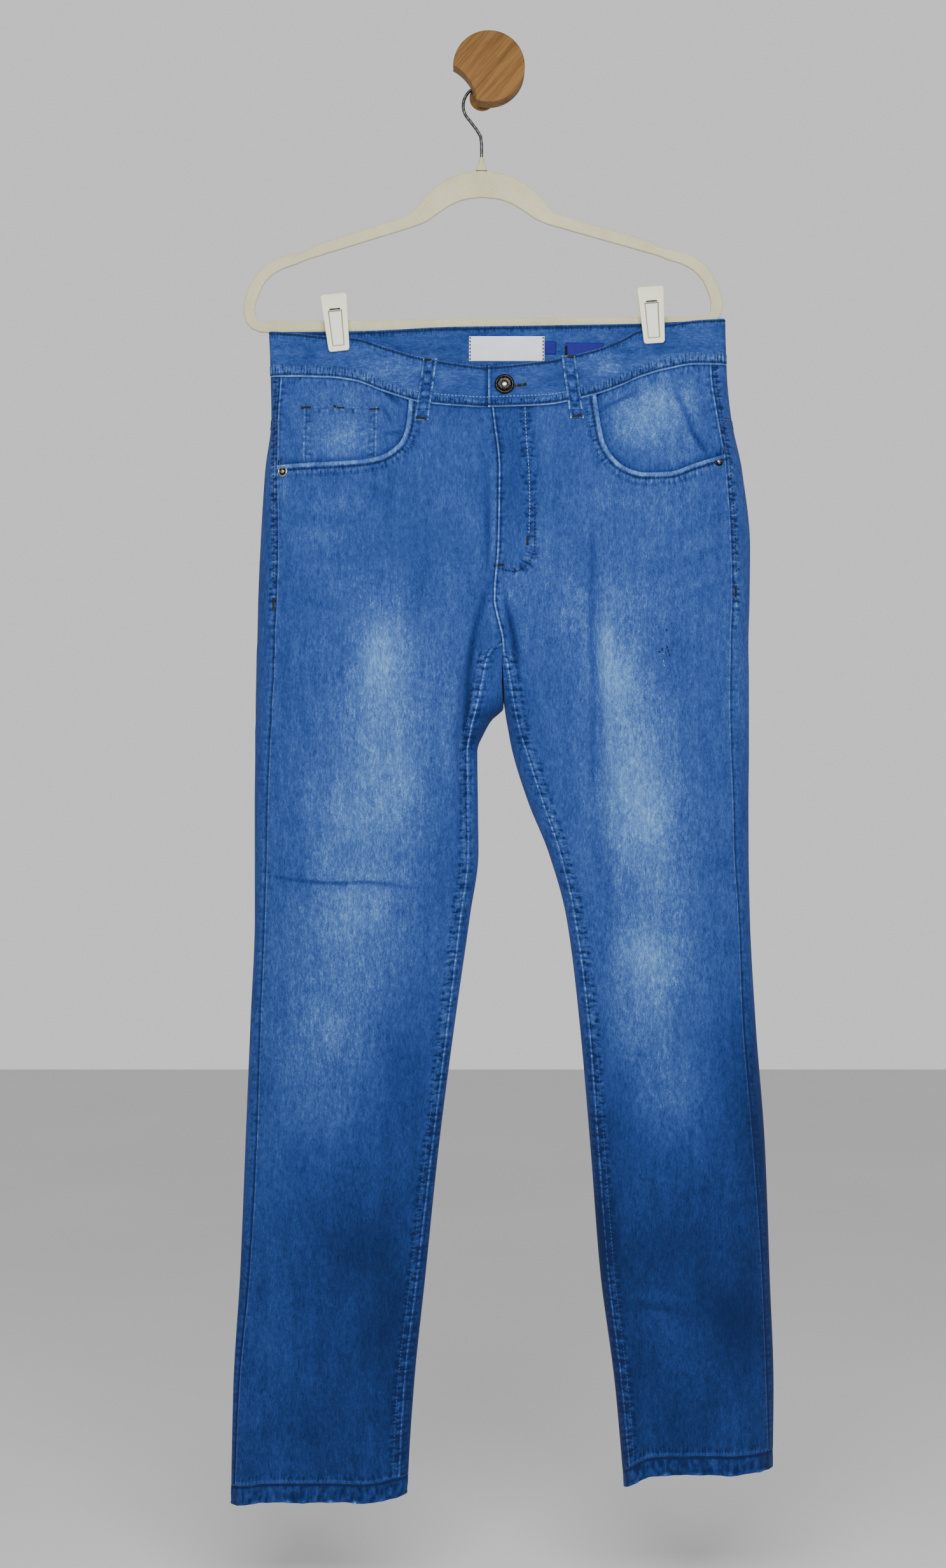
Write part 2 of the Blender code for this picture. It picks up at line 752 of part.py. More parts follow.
def back_pocket(leg, material):
    size = BACK_POCKET
    centre = BACK_POCKET_X[leg.name]

    def corners(s, v):
        half = mix(size["width_top"], size["width_low"], v) / 2
        low = mix(size["tip"], size["side"], abs(2 * s - 1))
        return centre + half * (2 * s - 1), mix(size["top"], low, v)

    return flat_patch(f"back_pocket_{leg.name}", "back", corners, (8, 6), DENIM, DENIM + SEAM, material)


FLY = {"left": -6.0, "right": 36.0, "top": -301.5, "bottom": -450.0}


def fly_shield(material):
    """The strip behind the fly, on the inside of both fronts."""

    def corners(s, v):
        z = mix(FLY["top"], FLY["bottom"], v)
        x = right_leg.line("inner", z)
        return x + mix(FLY["left"], FLY["right"] - 14 * v ** 3, s), z

    return flat_patch("fly_shield", "front", corners, (4, 10), DENIM, -(DENIM + 0.5), material)


LOOP_WIDTH, LOOP_CLOTH = 12.0, 1.3
LOOP_COLUMNS = ("name", "face", "x_top", "z_top", "x_low", "z_low")
LOOPS = (
    ("belt_loop_front_left", "front", -48.5, -252.5, -56.5, -311),
    ("belt_loop_front_right", "front", 80, -249.5, 88, -309),
    ("belt_loop_back_left", "back", -108, -224.5, -108, -283),
    ("belt_loop_back_middle", "back", 17, -221.5, 17, -279),
    ("belt_loop_back_right", "back", 134, -220.5, 134, -277),
)
LOOP_BOW = 1.6


def belt_loop(row, material):
    loop = dict(zip(LOOP_COLUMNS, row))
    face = loop["face"]
    out = forward if face == "front" else backward

    def place(s, v):
        x = mix(loop["x_top"], loop["x_low"], v) + LOOP_WIDTH * (s - 0.5)
        z = mix(loop["z_top"], loop["z_low"], v)
        bow = LOOP_BOW * sin(pi * v)
        return face_at(face, x, z) + out(None) * bow

    rows = grid_of(place, [0, 0.5, 1], steps(0, 1, 6), out)
    return sheet(loop["name"], [rows], LOOP_CLOTH, material, lift=LOOP_CLOTH + 0.45)


LABEL_CLOTH = 1.0
LABEL_COLUMNS = ("name", "x_left", "x_right", "z_top", "z_low")
LABELS = (
    ("label_main", -12.5, 58.5, -227.8, -251),
    ("label_size", 59, 69.5, -232.5, -244.5),
    ("label_care", 78.5, 114, -233.7, -259),
)


def label(row, material):
    size = dict(zip(LABEL_COLUMNS, row))

    def corners(s, v):
        return mix(size["x_left"], size["x_right"], s), mix(size["z_top"], size["z_low"], v)

    return flat_patch(size["name"], "back", corners, (4, 2), LABEL_CLOTH, -(BAND + 0.5), material)


# ---------------------------------------------------------------- turned pieces

def turned(name, profile, segments, matrix, material):
    """A body of revolution about its own Z, from (radius, height) pairs that run from the axis to the axis."""
    mesh = bmesh.new()
    rings = []
    for radius, height in profile:
        angles = [2 * pi * i / segments for i in range(segments)] if radius > 0 else [0]
        rings.append([mesh.verts.new(Vector((radius * cos(a), radius * sin(a), height)) * MM) for a in angles])
    for a, b in zip(rings, rings[1:]):
        for i in range(segments):
            k = (i + 1) % segments
            if len(a) == 1:
                mesh.faces.new((a[0], b[i], b[k]))
            elif len(b) == 1:
                mesh.faces.new((a[i], a[k], b[0]))
            else:
                mesh.faces.new((a[i], a[k], b[k], b[i]))
    bmesh.ops.recalc_face_normals(mesh, faces=mesh.faces[:])
    made = finish(name, mesh, material)
    made.matrix_world = matrix
    return made


def standing_on(point, normal, lift):
    """Places a turned piece on the cloth, its axis along the normal."""
    turn = normal.to_track_quat("Z", "Y").to_matrix().to_4x4()
    return Matrix.Translation((point + normal * lift) * MM) @ turn


BUTTON = {"x": 20.5, "z": -277.5, "radius": 9.0, "height": 3.2}
RIVET_COLUMNS = ("x", "z", "radius", "lift")
RIVETS = {"left": (-185.5, -358.5, 4.9, 0.0), "right": (219.5, -349.5, 4.4, -0.4)}


def button(material):
    r, h = BUTTON["radius"], BUTTON["height"]
    profile = (
        (0, 0),
        (r - 2.2, 0),
        (r - 1.8, 0.8),
        (r - 0.6, 1.2),
        (r, 2.0),
        (r - 0.7, h - 0.2),
        (r - 1.8, h),
        (r - 3, h - 0.7),
        (2.6, h - 0.9),
        (1.6, h - 0.1),
        (0, h),
    )
    leg = right_leg
    point = leg.front_at(BUTTON["x"], BUTTON["z"])
    normal = front_normal(leg, point)
    return turned("button", profile, 28, standing_on(point, normal, 0.6), material)


def rivet(leg, material):
    x, z, r, lift = RIVETS[leg.name]
    profile = (
        (0, 0),
        (r, 0),
        (r, 0.5),
        (r - 0.8, 1.1),
        (r * 0.62, 1.2),
        (r * 0.5, 0.8),
        (r * 0.3, 1.5),
        (0, 1.8),
    )
    point = leg.front_at(x, z)
    normal = front_normal(leg, point)
    return turned(f"rivet_{leg.name}", profile, 20, standing_on(point, normal, lift), material)


# ---------------------------------------------------------------- hanger

HANGER_Y = -7.5
HANGER_THICK = 5.5
HANGER_TOP = (-0.8, -70.6)  # x and z of the top of its arch
HANGER_TILT = 0.66  # degrees, the right end up
BAR_DROP = 145.0  # of the bar's middle below the arch's top
RIB_COLUMNS = ("out", "drop", "width")  # half of the rib, from the arch's middle to the bar's end
HANGER_RIB = (
    (0, 12.6, 25),
    (15, 14.3, 24.6),
    (28, 18.6, 23.5),
    (39, 25, 22),
    (49, 33, 20),
    (57, 40.5, 16.5),
    (65, 45.5, 13),
    (76, 49.4, 11.6),
    (100, 56.6, 11.4),
    (130, 65.6, 11.3),
    (157, 73.8, 11.2),
    (164, 76.8, 8.6),
    (171, 79.6, 8.4),
    (176, 80.8, 10.6),
    (190, 85, 11.2),
    (203, 92.5, 11.2),
    (212, 103, 11.2),
    (217.5, 115, 11.2),
    (220.5, 127, 11.2),
    (219, 137.5, 11.1),
    (210, 144.4, 11),
    (198, 145, 11),
    (150, 145, 11),
    (75, 145, 11),
    (0, 145, 11),
)
RIB_STEP = 7.0  # length between stations
EDGE_ROUND = 1.6


def on_hanger(out, drop):
    """A place on the hanger, turned by its tilt about the top of the arch."""
    tilt = radians(HANGER_TILT)
    x = out * cos(tilt) + drop * sin(tilt)
    z = out * sin(tilt) - drop * cos(tilt)
    return HANGER_TOP[0] + x, HANGER_TOP[1] + z


def rib_profile(width, thick):
    """Across the rib: a flat strip with rounded corners, as (out of plane, in plane)."""
    w, t, r = width / 2 - EDGE_ROUND, thick / 2 - EDGE_ROUND, EDGE_ROUND
    points = []
    for corner, (y_at, across_at) in enumerate(((t, w), (-t, w), (-t, -w), (t, -w))):
        for angle in steps(corner * pi / 2, (corner + 1) * pi / 2, 2):
            points.append((y_at + r * cos(angle), across_at + r * sin(angle)))
    return points


def rib_stations():
    """Half of the rib, with stations on a smooth curve between the table's rows."""
    reach = [0.0]
    for a, b in zip(HANGER_RIB, HANGER_RIB[1:]):
        reach.append(reach[-1] + sqrt((b[0] - a[0]) ** 2 + (b[1] - a[1]) ** 2))
    at = []
    for a, b in zip(reach, reach[1:]):
        at += steps(a, b, max(1, round((b - a) / RIB_STEP)))[:-1]
    columns = [[row[i] for row in HANGER_RIB] for i in range(len(RIB_COLUMNS))]
    return [Vector([hermite(reach, column, length) for column in columns]) for length in [*at, reach[-1]]]


def hanger_frame(material):
    half = rib_stations()
    left = [Vector((-row[0], row[1], row[2])) for row in half[-2:0:-1]]
    rows = half + left
    count = len(rows)
    mesh = bmesh.new()
    rings = []
    for i, row in enumerate(rows):
        before, after = rows[i - 1], rows[(i + 1) % count]
        heading = Vector((after[0] - before[0], after[1] - before[1])).normalized()
        outwards = Vector((heading[1], -heading[0]))
        ring = []
        for y, across in rib_profile(row[2], HANGER_THICK):
            x, z = on_hanger(row[0] + outwards[0] * across, row[1] + outwards[1] * across)
            ring.append(mesh.verts.new(Vector((x, HANGER_Y + y, z)) * MM))
        rings.append(ring)
    for i in range(count):
        a, b = rings[i], rings[(i + 1) % count]
        for k in range(len(a)):
            m = (k + 1) % len(a)
            mesh.faces.new((a[k], b[k], b[m], a[m]))
    bmesh.ops.recalc_face_normals(mesh, faces=mesh.faces[:])
    if mesh.calc_volume(signed=True) < 0:
        bmesh.ops.reverse_faces(mesh, faces=mesh.faces[:])
    return finish("hanger_frame", mesh, material)


def hanger_collar(material):
    """The short neck on the arch that the hook's wire goes into."""
    profile = ((0, 0), (5.6, 0), (4.6, 2.2), (3.0, 6.5), (2.4, 11.5), (1.9, 12.4), (0, 12.4))
    x, z = on_hanger(0, 0)
    place = Matrix.Translation(Vector((x, HANGER_Y, z + SEAM)) * MM)
    made = turned("hanger_collar", profile, 20, place, material)
    for vert in made.data.vertices:
        vert.co.y = clamp(vert.co.y, -HANGER_THICK / 2 * MM, HANGER_THICK / 2 * MM)
    return made


WIRE_RADIUS = 1.5
CROOK_RADIUS = 18.6  # to the wire's middle
CROOK_X, CROOK_Z = 0.6, -9.2  # middle of the crook
CROOK_FROM, CROOK_TO = 226, 12  # degrees, over the top
NECK = ((-0.6, -57.6), (-0.6, -53.0), (-0.6, -49.0))
SWAN = ((-0.6, -45.3), (-1.6, -38.0), (-5.6, -31.3))  # the bend between the neck and the crook


def hanger_hook(material):
    """The wire hook: straight out of the collar, a double bend, and a crook over the peg."""
    points = [*NECK, *SWAN]
    for angle in steps(CROOK_FROM, CROOK_TO, 20):
        a = radians(angle)
        points.append((CROOK_X + CROOK_RADIUS * cos(a), CROOK_Z + CROOK_RADIUS * sin(a)))
    data = bpy.data.curves.new("hanger_hook", "CURVE")
    data.dimensions = "3D"
    spline = data.splines.new("POLY")
    spline.points.add(len(points) - 1)
    for point, (x, z) in zip(spline.points, points):
        point.co = (x * MM, HANGER_Y * MM, z * MM, 1)
    data.bevel_depth = WIRE_RADIUS * MM
    data.bevel_resolution = 3
    data.use_fill_caps = True
    data.materials.append(material)
    made = bpy.data.objects.new("hanger_hook", data)
    bpy.context.scene.collection.objects.link(made)
    return made


# Clips: where each sits on the bar, how it leans, and how far its jaws reach above and below the bar's middle.
CLIP_COLUMNS = ("name", "out", "lean", "above", "below")
CLIPS = (("left", -137.8, -6.0, 28.5, -25.5), ("right", 159.2, -4.2, 32.0, -21.5))
CLIP_WIDTH_TOP, CLIP_WIDTH_LOW = 25.0, 19.5
CLIP_CORNER = 3.0
FRONT_JAW_Y, FRONT_JAW_THICK = PINCHED_FRONT - 0.6, 3.4  # inner face, beside the cloth
BACK_JAW_Y, BACK_JAW_THICK = -4.3, 2.6  # inner face, behind the bar
BACK_PAD_Y = PINCHED_BACK + 0.4  # the back jaw's pad reaches forward under the bar
LUG_HALF, LUG_HEIGHT, LUG_CLEAR = 8.0, 6.0, 1.2
BAR_HALF = 5.5
WINDOW = {"above_low": 5.0, "height": 33.5, "half": 7.0, "depth": 1.3}


def clip_jaw(clip, face, material):
    """A jaw: a tapering plate with a lug over the bar. The front one has a sunk window, the back one a pad."""
    front = face == "front"
    name = f"clip_{clip['name']}_{face}"
    inner_y = FRONT_JAW_Y if front else BACK_JAW_Y
    outer_y = inner_y - FRONT_JAW_THICK if front else inner_y + BACK_JAW_THICK
    top, low = clip["above"], clip["below"]

    def half_at(z):
        return mix(CLIP_WIDTH_LOW, CLIP_WIDTH_TOP, (z - low) / (top - low)) / 2

    corner = CLIP_CORNER
    middles = (
        (half_at(top) - corner, top - corner),
        (corner - half_at(top), top - corner),
        (corner - half_at(low), low + corner),
        (half_at(low) - corner, low + corner),
    )
    outline = []
    for quarter_turn, (x_at, z_at) in enumerate(middles):
        for angle in steps(quarter_turn * pi / 2, (quarter_turn + 1) * pi / 2, 3):
            outline.append((x_at + corner * cos(angle), z_at + corner * sin(angle)))
    mesh = bmesh.new()
    inner = [mesh.verts.new((x, inner_y, z)) for x, z in outline]
    outer = [mesh.verts.new((x, outer_y, z)) for x, z in outline]
    mesh.faces.new(inner)
    mesh.faces.new(outer)
    for i in range(len(outline)):
        mesh.faces.new((inner[i - 1], inner[i], outer[i], outer[i - 1]))
    bmesh.ops.recalc_face_normals(mesh, faces=mesh.faces[:])
    rim = [edge for edge in mesh.edges if all(vert in outer for vert in edge.verts)]
    bmesh.ops.bevel(mesh, geom=rim, offset=0.9, segments=2, profile=0.5, affect="EDGES")
    for vert in mesh.verts:
        vert.co *= MM
    made = finish(name, mesh, material)

    over_bar = BAR_HALF + LUG_CLEAR
    lug_z = (over_bar, over_bar + LUG_HEIGHT)
    if front:
        low_edge = low + WINDOW["above_low"]
        window = slab(
            f"{name}_window",
            (-WINDOW["half"], WINDOW["half"]),
            (outer_y - 1, outer_y + WINDOW["depth"]),
            (low_edge, low_edge + WINDOW["height"]),
        )
        lug = slab(f"{name}_lug", (-LUG_HALF, LUG_HALF), (inner_y - 1, HANGER_Y - SEAM), lug_z)
        shaped = (("DIFFERENCE", window), ("UNION", lug))
    else:
        lug = slab(f"{name}_lug", (-LUG_HALF, LUG_HALF), (HANGER_Y + SEAM, inner_y + 1), lug_z)
        pad = slab(f"{name}_pad", (-LUG_HALF, LUG_HALF), (BACK_PAD_Y, inner_y + 1), (low + 1.5, -over_bar - 1))
        shaped = (("UNION", lug), ("UNION", pad))
    x, z = on_hanger(clip["out"], BAR_DROP)
    place = Matrix.Translation((x * MM, 0, z * MM)) @ Matrix.Rotation(radians(clip["lean"]), 4, "Y")
    made.matrix_world = place
    for operation, other in shaped:
        modifier = made.modifiers.new(other.name, "BOOLEAN")
        modifier.operation = operation
        modifier.object = other
        other.matrix_world = place
    return made


def slab(name, xs, ys, zs):
    """A hidden block that cuts or adds to a clip."""
    mesh = bmesh.new()
    bmesh.ops.create_cube(mesh, size=1)
    for vert in mesh.verts:
        vert.co = Vector(
            (
                mix(*xs, vert.co.x + 0.5) * MM,
                mix(*ys, vert.co.y + 0.5) * MM,
                mix(*zs, vert.co.z + 0.5) * MM,
            )
        )
    data = bpy.data.meshes.new(name)
    mesh.to_mesh(data)
    mesh.free()
    made = bpy.data.objects.new(name, data)
    made.hide_render = True
    made.display_type = "WIRE"
    bpy.context.scene.collection.objects.link(made)
    return made


# ---------------------------------------------------------------- wall hook

DISC_RADIUS = 33.5
DISC_X, DISC_Z = 6.2, 20.5
DISC_BACK_Y, DISC_FRONT_Y = -12.0, -33.0
BITE_RADIUS = 42.0
BITE_DEPTH = 11.0  # how far the hollow comes in from the rim
BITE_ANGLE = 214.0  # degrees, to the lower left
PEG_RADIUS = 7.5
FLANGE_RADIUS, FLANGE_THICK = 12.0, 3.0


def wall_disc(material):
    """The wooden disc, with a round hollow cut in its rim."""
    middle = radians(BITE_ANGLE)
    between = DISC_RADIUS + BITE_RADIUS - BITE_DEPTH
    bite = Vector((cos(middle), sin(middle))) * between
    # The two circles cross at this angle on either side of the line between their middles.
    half_disc = acos((DISC_RADIUS ** 2 + between ** 2 - BITE_RADIUS ** 2) / (2 * DISC_RADIUS * between))
    half_bite = acos((BITE_RADIUS ** 2 + between ** 2 - DISC_RADIUS ** 2) / (2 * BITE_RADIUS * between))
    outline = []
    for a in steps(middle + half_disc, middle + 2 * pi - half_disc, 56):
        outline.append((DISC_RADIUS * cos(a), DISC_RADIUS * sin(a)))
    for a in steps(middle + pi + half_bite, middle + pi - half_bite, 14)[1:-1]:
        outline.append((bite[0] + BITE_RADIUS * cos(a), bite[1] + BITE_RADIUS * sin(a)))
    mesh = bmesh.new()
    back = [mesh.verts.new(Vector((DISC_X + x, DISC_BACK_Y, DISC_Z + z)) * MM) for x, z in outline]
    front = [mesh.verts.new(Vector((DISC_X + x, DISC_FRONT_Y, DISC_Z + z)) * MM) for x, z in outline]
    mesh.faces.new(back)
    mesh.faces.new(front)
    for i in range(len(outline)):
        k = (i + 1) % len(outline)
        mesh.faces.new((back[i], back[k], front[k], front[i]))
    bmesh.ops.recalc_face_normals(mesh, faces=mesh.faces[:])
    rims = [edge for edge in mesh.edges if (edge.verts[0] in back) == (edge.verts[1] in back)]
    bmesh.ops.bevel(mesh, geom=rims, offset=1.0 * MM, segments=2, profile=0.5, affect="EDGES")
    return finish("wall_disc", mesh, material, 30)


def wall_peg(material):
    """The turned peg between the disc and the wall, with a flange against the wall."""
    reach = -DISC_BACK_Y - SEAM
    profile = (
        (0, 0),
        (FLANGE_RADIUS, 0),
        (FLANGE_RADIUS, FLANGE_THICK - 0.8),
        (FLANGE_RADIUS - 0.8, FLANGE_THICK),
        (PEG_RADIUS, FLANGE_THICK),
        (PEG_RADIUS, reach),
        (0, reach),
    )
    return turned("wall_peg", profile, 48, Matrix.Rotation(pi / 2, 4, "X"), material)


# ---------------------------------------------------------------- the whole

def main():
    for old in list(bpy.data.objects):
        bpy.data.objects.remove(old)
    denim = material_of("denim", (0.09, 0.19, 0.42), 0.9)
    denim_pale = material_of("denim_pale", (0.16, 0.3, 0.55), 0.9)
    label_white = material_of("label_white", (0.75, 0.75, 0.76), 0.6)
    label_blue = material_of("label_blue", (0.03, 0.06, 0.5), 0.6)
    dark_metal = material_of("dark_metal", (0.08, 0.075, 0.07), 0.35, 1.0)
    wire_metal = material_of("wire_metal", (0.1, 0.1, 0.1), 0.3, 1.0)
    flock = material_of("flock", (0.55, 0.5, 0.41), 0.95)
    clip_plastic = material_of("clip_plastic", (0.66, 0.63, 0.55), 0.5)
    wood = material_of("wood", (0.36, 0.17, 0.07), 0.55)

    for leg in LEGS:
        front_panel(leg, denim)
        back_panel(leg, denim)
        yoke(leg, denim)
        hem(leg, denim)
        facing(leg, denim_pale)
        back_pocket(leg, denim)
        rivet(leg, dark_metal)
    waistband(denim)
    coin_pocket(denim_pale)
    fly_shield(denim)
    for row in LOOPS:
        belt_loop(row, denim)
    for row in LABELS:
        label(row, label_white if row[0] == "label_main" else label_blue)
    button(dark_metal)

    hanger_frame(flock)
    hanger_collar(flock)
    hanger_hook(wire_metal)
    for row in CLIPS:
        for face in ("front", "back"):
            clip_jaw(dict(zip(CLIP_COLUMNS, row)), face, clip_plastic)
    wall_disc(wood)
    wall_peg(wood)


main()
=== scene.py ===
# The looks of a pair of slim fit jeans held by the waist in a clip hanger on a round wooden wall hook.
# Lengths in the tables are millimetres. X runs to the viewer's right, Z up, and the wall is y = 0 with
# everything in front of it, at negative y. Left and right are the viewer's.

import json
from math import cos, pi, radians, sin

import bmesh
import bpy
import numpy as np
from mathutils import Matrix, Vector

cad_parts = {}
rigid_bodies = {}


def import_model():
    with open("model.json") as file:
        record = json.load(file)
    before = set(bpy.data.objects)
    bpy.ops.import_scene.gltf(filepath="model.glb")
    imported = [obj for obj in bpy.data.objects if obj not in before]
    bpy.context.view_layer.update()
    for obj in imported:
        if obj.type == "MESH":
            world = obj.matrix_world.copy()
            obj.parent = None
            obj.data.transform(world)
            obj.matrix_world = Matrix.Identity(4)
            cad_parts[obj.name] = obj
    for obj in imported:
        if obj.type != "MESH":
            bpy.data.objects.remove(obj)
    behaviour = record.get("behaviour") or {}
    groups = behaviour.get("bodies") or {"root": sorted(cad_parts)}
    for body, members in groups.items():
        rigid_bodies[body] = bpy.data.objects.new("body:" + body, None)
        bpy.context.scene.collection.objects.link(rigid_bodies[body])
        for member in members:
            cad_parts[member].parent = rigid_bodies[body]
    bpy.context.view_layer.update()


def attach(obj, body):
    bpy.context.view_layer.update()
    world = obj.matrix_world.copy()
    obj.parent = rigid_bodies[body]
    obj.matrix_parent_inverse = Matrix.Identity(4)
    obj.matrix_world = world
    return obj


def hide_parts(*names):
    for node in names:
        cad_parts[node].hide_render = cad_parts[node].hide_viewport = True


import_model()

MM = 0.001
DENIM, BAND, HEM = 1.2, 1.8, 2.4
SEAM = 0.3
BAND_GAP = 0.5

CROTCH_Z, SADDLE_Z, SADDLE_Y = -517.0, -578.0, -21.0
SEAT_SEAM_X = 17.0

CLIP_X = (-135.0, 161.5)
CLIP_HALF = 12.0
PINCHED_FRONT, PINCHED_BACK = -15.6, -10.9
WAIST_EDGE_Y, WAIST_ROUND = -16.0, 5.0
WAIST_SAG, WAIST_SIDE = 22.5, 5.4
PINCH_TOP_Z, PINCH_END_Z = -245.0, -350.0

# ---------------------------------------------------------------- the form of the cloth, as its solids have it

OUTLINE_COLUMNS = ("z", "outer", "inner", "outseam", "inseam")
LEFT_OUTLINE = (
    (-200, -202, 4.5, -190, 4.5),
    (-266, -199, 5.5, -189, 5.5),
    (-308, -198, 10, -191, 10),
    (-356, -203.5, 15, -191, 15),
    (-428, -208, 14, -190, 14),
    (-475, -210, 10.5, -191, 10.5),
    (-517, -211, 18.5, -193, 18.5),
    (-524, -211.5, 18.5, -193, 8.5),
    (-533, -211.7, 18.5, -193.5, 4.5),
    (-550, -212, 18.7, -194, 1),
    (-578, -212.5, 19.8, -196, -5),
    (-589, -212.5, 9, -196, -8),
    (-600, -213, 2.5, -197, -10.5),
    (-618, -213, -4.5, -198, -13.5),
    (-666, -213.5, -4, -200, -13.5),
    (-713, -213.5, -3.5, -201, -13),
    (-773, -213.5, -11.5, -203, -20),
    (-868, -217.5, -25, -207, -31.5),
    (-987, -222.5, -40.5, -211, -46.5),
    (-1107, -227.5, -53, -218, -60.5),
    (-1214, -234, -64, -228, -73),
    (-1330, -236.5, -71, -233, -79),
)
RIGHT_OUTLINE = (
    (-200, 228, 4.5, 214, 4.5),
    (-266, 230, 5.5, 215, 5.5),
    (-308, 234, 10, 220, 10),
    (-356, 243.5, 15, 227, 15),
    (-428, 251, 14, 231.5, 14),
    (-475, 250.5, 10.5, 232.5, 10.5),
    (-517, 249.5, 18.5, 231, 18.5),
    (-524, 249.5, 18.5, 231, 19),
    (-533, 249.7, 18.5, 231, 21.5),
    (-550, 250, 19.5, 230.5, 25),
    (-578, 250, 21, 230.5, 30),
    (-600, 250, 24.5, 231, 35),
    (-618, 250, 28, 231.5, 40.5),
    (-666, 249.5, 43, 233.5, 56),
    (-713, 249.5, 62, 234.5, 72),
    (-773, 250.5, 78.5, 238.5, 86),
    (-868, 255.5, 90.5, 242, 98.5),
    (-987, 264.5, 101, 252, 108),
    (-1107, 269, 110.5, 260.5, 117.5),
    (-1214, 272.5, 125, 264.5, 131),
    (-1330, 271, 135, 267.5, 141),
)

DEPTH_COLUMNS = ("z", "front", "back", "edge", "round")
HIP_DEPTH = (
    (-200, -38, -8, -17, 20),
    (-266, -41, -7, -19, 32),
    (-356, -44, -4, -22, 44),
    (-475, -45, -3.6, -22, 50),
)
LEFT_DEPTH = HIP_DEPTH + (
    (-578, -43, -3.6, -21, 55),
    (-713, -42, -3.6, -20, 60),
    (-868, -38, -3.6, -18, 62),
    (-1107, -32, -3.4, -16, 58),
    (-1330, -29, -3.2, -15, 50),
)
RIGHT_DEPTH = HIP_DEPTH + (
    (-578, -45, -3.6, -21, 58),
    (-713, -48, -3.6, -23, 66),
    (-868, -52, -3.6, -25, 72),
    (-1107, -48, -3.4, -24, 68),
    (-1330, -54, -3.2, -27, 62),
)

FOLD_COLUMNS = ("z_top", "x_top", "z_mid", "x_mid", "z_low", "x_low", "half_width", "depth")
FOLDS = (
    (-475, 3, -600, -17.5, -712, -13, 11, 6.5),
    (-392, 5.5, -440, 5.5, -490, -2, 10, 2.5),
    (-405, 104, -610, 106, -840, 116, 13, 5.0),
    (-478, 21, -510, 27, -545, 34, 10, 3.0),
)

FRONT_BAND_COLUMNS = ("x", "top", "seam")
FRONT_BAND = (
    (-203, -224, -267.5),
    (-148, -227.5, -267),
    (-122, -229, -270),
    (-91, -239, -282),
    (-57.5, -250, -293),
    (-19.5, -257.5, -297.5),
    (5, -260, -298.5),
    (56, -254.5, -296.5),
    (105.5, -242, -285),
    (131, -231, -275),
    (149, -221.5, -266.5),
    (172, -216.5, -259.5),
    (198, -214, -255.5),
    (231, -212, -256),
)
BACK_BAND_COLUMNS = ("x", "top")
BACK_BAND = ((-203, -224), (-122, -223), (-20, -218.5), (56, -217.5), (135, -216), (231, -212))
BAND_HEIGHT = 43.5
OVERLAP_X = 5.0
UNDERLAP_DEPTH, UNDERLAP_FROM_X, UNDERLAP_FULL_X = 2.3, -20.0, -1.0

LEFT_MOUTH = (
    (-68.6, -293), (-70, -311), (-74, -327), (-83, -338), (-96, -345), (-112, -348), (-150, -350.5),
    (-191, -352.5),
)
RIGHT_MOUTH = (
    (106, -285), (108.5, -304), (112, -327), (121, -345), (134, -355.5), (150, -360), (172, -359.5),
    (195, -352), (224, -342.5),
)
MORPH_Z = -428.0
YOKE_SIDE_Z, YOKE_MIDDLE_Z = -308.0, -352.0
UNDER_BAND_Z = -262.0
# bend is how far the hem's edge is lifted off that slope, place by place: x and the lift.
LEFT_HEM = {
    "top": -1304.0, "bottom": -1323.5, "slope": 0.02, "middle": -155.0,
    "bend": ((-235, 0), (-217, 1.6), (-209, 3.5), (-198, 4.1), (-185, 4.3), (-168, 3.8), (-143, 3.5), (-125, 2.5),
             (-112, 1.8), (-96, 2.8), (-86, 4.7), (-78, 5.4), (-70, 6.8)),
}
RIGHT_HEM = {
    "top": -1280.0, "bottom": -1299.0, "slope": 0.125, "middle": 204.0,
    "bend": ((125, -1), (130, 1), (137, 5), (147, 12), (156, 15), (168, 15.5), (184, 14), (201, 12.5), (217, 10.3),
             (233, 7.6), (250, 6), (268, 4.5)),
}
LEAN_FROM_Z, BEND_FROM_Z, LEAN_FULL_Z = -1130.0, -1215.0, -1280.0
WEB_TOP_Z = {"left": -517.6, "right": -517.6}


def mix(a, b, t):
    return a + (b - a) * t


def clamp(t, low=0.0, high=1.0):
    return np.clip(t, low, high)


def smooth(a, b, t):
    t = clamp((t - a) / (b - a))
    return t * t * (3 - 2 * t)


def hermite(knots, values, at):
    """A smooth curve through the values that never overshoots them."""
    knots, values = np.asarray(knots, float), np.asarray(values, float)
    at = np.clip(at, knots[0], knots[-1])
    i = np.clip(np.searchsorted(knots, at, side="right") - 1, 0, len(knots) - 2)
    step = np.diff(knots)
    slope = np.diff(values) / step
    a, b = slope[:-1], slope[1:]
    level = np.where(a * b > 0, 2 * a * b / np.where(a * b > 0, a + b, 1), 0)
    tangent = np.concatenate([slope[:1], level, slope[-1:]])
    h = step[i]
    t = (at - knots[i]) / h
    return (
        (1 + 2 * t) * (1 - t) ** 2 * values[i]
        + t * (1 - t) ** 2 * h * tangent[i]
        + t * t * (3 - 2 * t) * values[i + 1]
        + t * t * (t - 1) * h * tangent[i + 1]
    )


class Table:
    def __init__(self, columns, rows):
        rows = np.array(sorted(rows), float)
        self.knots = rows[:, 0]
        self.values = {name: rows[:, i] for i, name in enumerate(columns)}

    def read(self, column, at):
        return hermite(self.knots, self.values[column], at)


def unit(vectors):
    return vectors / np.maximum(np.linalg.norm(vectors, axis=-1, keepdims=True), 1e-12)


